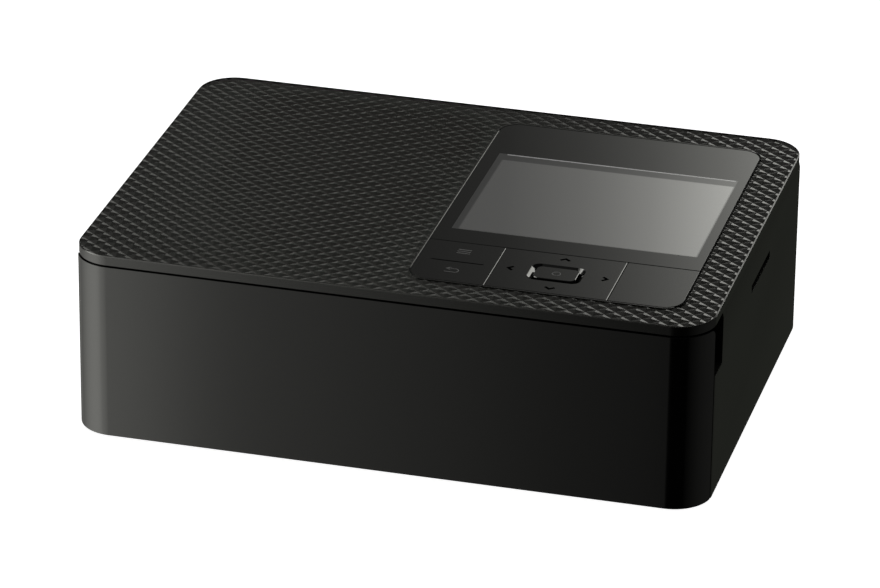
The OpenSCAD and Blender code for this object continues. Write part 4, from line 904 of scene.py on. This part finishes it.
# %% The outlines that cut the sheet
FIELD_HALF_X = BODY_X1 - FIELD_INSET + RIM_SHIFT
FIELD_HALF_Y = BODY_Y1 - FIELD_INSET + RIM_SHIFT
FIELD = (-FIELD_HALF_X, FIELD_HALF_X, -FIELD_HALF_Y, FIELD_HALF_Y, BODY_R - FIELD_INSET + RIM_SHIFT)
PANEL_RIM = (
    PANEL_X0 - RIM_WIDTH, PANEL_X1 + RIM_WIDTH, PANEL_Y0 - RIM_WIDTH, PANEL_Y1 + RIM_WIDTH,
    PANEL_R + RIM_WIDTH,
)
NO_STEP = 1e-9


def inside_ring(x, y, x0, x1, y0, y1, r):
    """Whether points lie inside a rectangle with round corners."""
    dx = np.maximum(np.maximum(x0 + r - x, x - (x1 - r)), 0)
    dy = np.maximum(np.maximum(y0 + r - y, y - (y1 - r)), 0)
    return np.hypot(dx, dy) <= r


def straight_steps(ring):
    """The straight steps of an anticlockwise ring: each one's start and end, in metres, and the normal
    that points outwards."""
    for a, b in zip(ring, np.roll(ring, -1, axis=0)):
        step = b - a
        if np.hypot(*step) > NO_STEP:
            yield Vector((*a * MM, 0)), Vector((*b * MM, 0)), Vector((step[1], -step[0], 0)).normalized()


# %% Cut the sheet to the lid's field and to the panel's rim
CUT_REACH = 6 * MM
MERGE, ON_PLANE = 1e-7, 1e-8
RIDGE_ROUND, RIDGE_ANGLE = 0.3, 8


def cut_grain():
    """The pyramid faces that lie in the field, cut to its outline and to the panel's rim.
    Each straight step of the field's outline cuts off what lies outside. Each step of the panel's rim only
    cuts the faces near it, and the faces inside the rim are deleted afterwards."""
    points, sides = pyramid_sheet(FIELD_HALF_X, FIELD_HALF_Y)
    print("pyramids:", len(sides) // 4)
    work = bmesh.new()
    corners = [work.verts.new(point) for point in points]
    for side in sides:
        work.faces.new([corners[i] for i in side])
    bmesh.ops.remove_doubles(work, verts=work.verts, dist=MERGE)
    for start, _, outward in straight_steps(rounded_ring(*FIELD)):
        bmesh.ops.bisect_plane(
            work, geom=work.verts[:] + work.edges[:] + work.faces[:], dist=ON_PLANE,
            plane_co=start, plane_no=outward, clear_outer=True,
        )
    for start, end, outward in straight_steps(rounded_ring(*PANEL_RIM, steps=8)):
        middle = (start + end) / 2
        reach = (end - start).length / 2 + CUT_REACH
        near = [f for f in work.faces if (f.calc_center_median().xy - middle.xy).length < reach]
        touched = set(near)
        for face in near:
            touched.update(face.verts)
            touched.update(face.edges)
        bmesh.ops.bisect_plane(work, geom=list(touched), dist=ON_PLANE, plane_co=middle, plane_no=outward)
    centres = np.array([f.calc_center_median()[:2] for f in work.faces]) / MM
    inner = inside_ring(centres[:, 0], centres[:, 1], *PANEL_RIM)
    work.faces.ensure_lookup_table()
    bmesh.ops.delete(work, geom=[work.faces[i] for i in np.nonzero(inner)[0]], context="FACES")
    mesh = bpy.data.meshes.new("lid_grain")
    work.to_mesh(mesh)
    work.free()
    return mesh


grain = add_object("lid_grain", cut_grain())
round_edges(grain, "ridges", RIDGE_ROUND, 2, RIDGE_ANGLE)
attach(grain, "housing", "case_black")
print("grain faces:", len(grain.data.polygons))

# %% [markdown]
# ## The ribbon film
# When the print head swings down, it presses the film into a shallow V onto the platen. Two flat halves
# meet under the head. Both ride on the ribbon cassette and stay flat.

# %% Two flat halves under the head
FILM_LOW, FILM_STACK, FILM_INSET = 28.4, 0.1, 0.1
FILM_SHEET, FILM_OVERLAP, FILM_DIP = 0.08, 0.4, 2.3
FILM_X, FILM_Y, _ = extent("ribbon_film")
HEAD_LINE = sum(FILM_Y) / 2
BOX_FACES = [[3, 2, 1, 0], [4, 5, 6, 7], [0, 1, 5, 4], [1, 2, 6, 5], [2, 3, 7, 6], [3, 0, 4, 7]]


def film_half(name, anchor_y, side, low):
    """A thin plate from `anchor_y` to just past the head's line. `side` is 1 for the front half, -1 for
    the rear one, and `low` the height of its underside."""
    free_y = HEAD_LINE + side * FILM_OVERLAP
    x0, x1 = FILM_X[0] + FILM_INSET, FILM_X[1] - FILM_INSET
    corners = np.vstack([rectangle(x0, x1, anchor_y, free_y, low + lift) for lift in (0, FILM_SHEET)])
    half = mesh_piece(name, corners * MM, BOX_FACES)
    face_outwards(half)
    attach(half, "ribbon_cassette", slot_of["ribbon_film"])
    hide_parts("ribbon_film")
    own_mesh(half)


film_half("film_front", FILM_Y[0] + FILM_INSET, 1, FILM_LOW)
film_half("film_rear", FILM_Y[1] - FILM_INSET, -1, FILM_LOW + FILM_STACK)
print("film dips by", FILM_DIP, "mm at", HEAD_LINE)
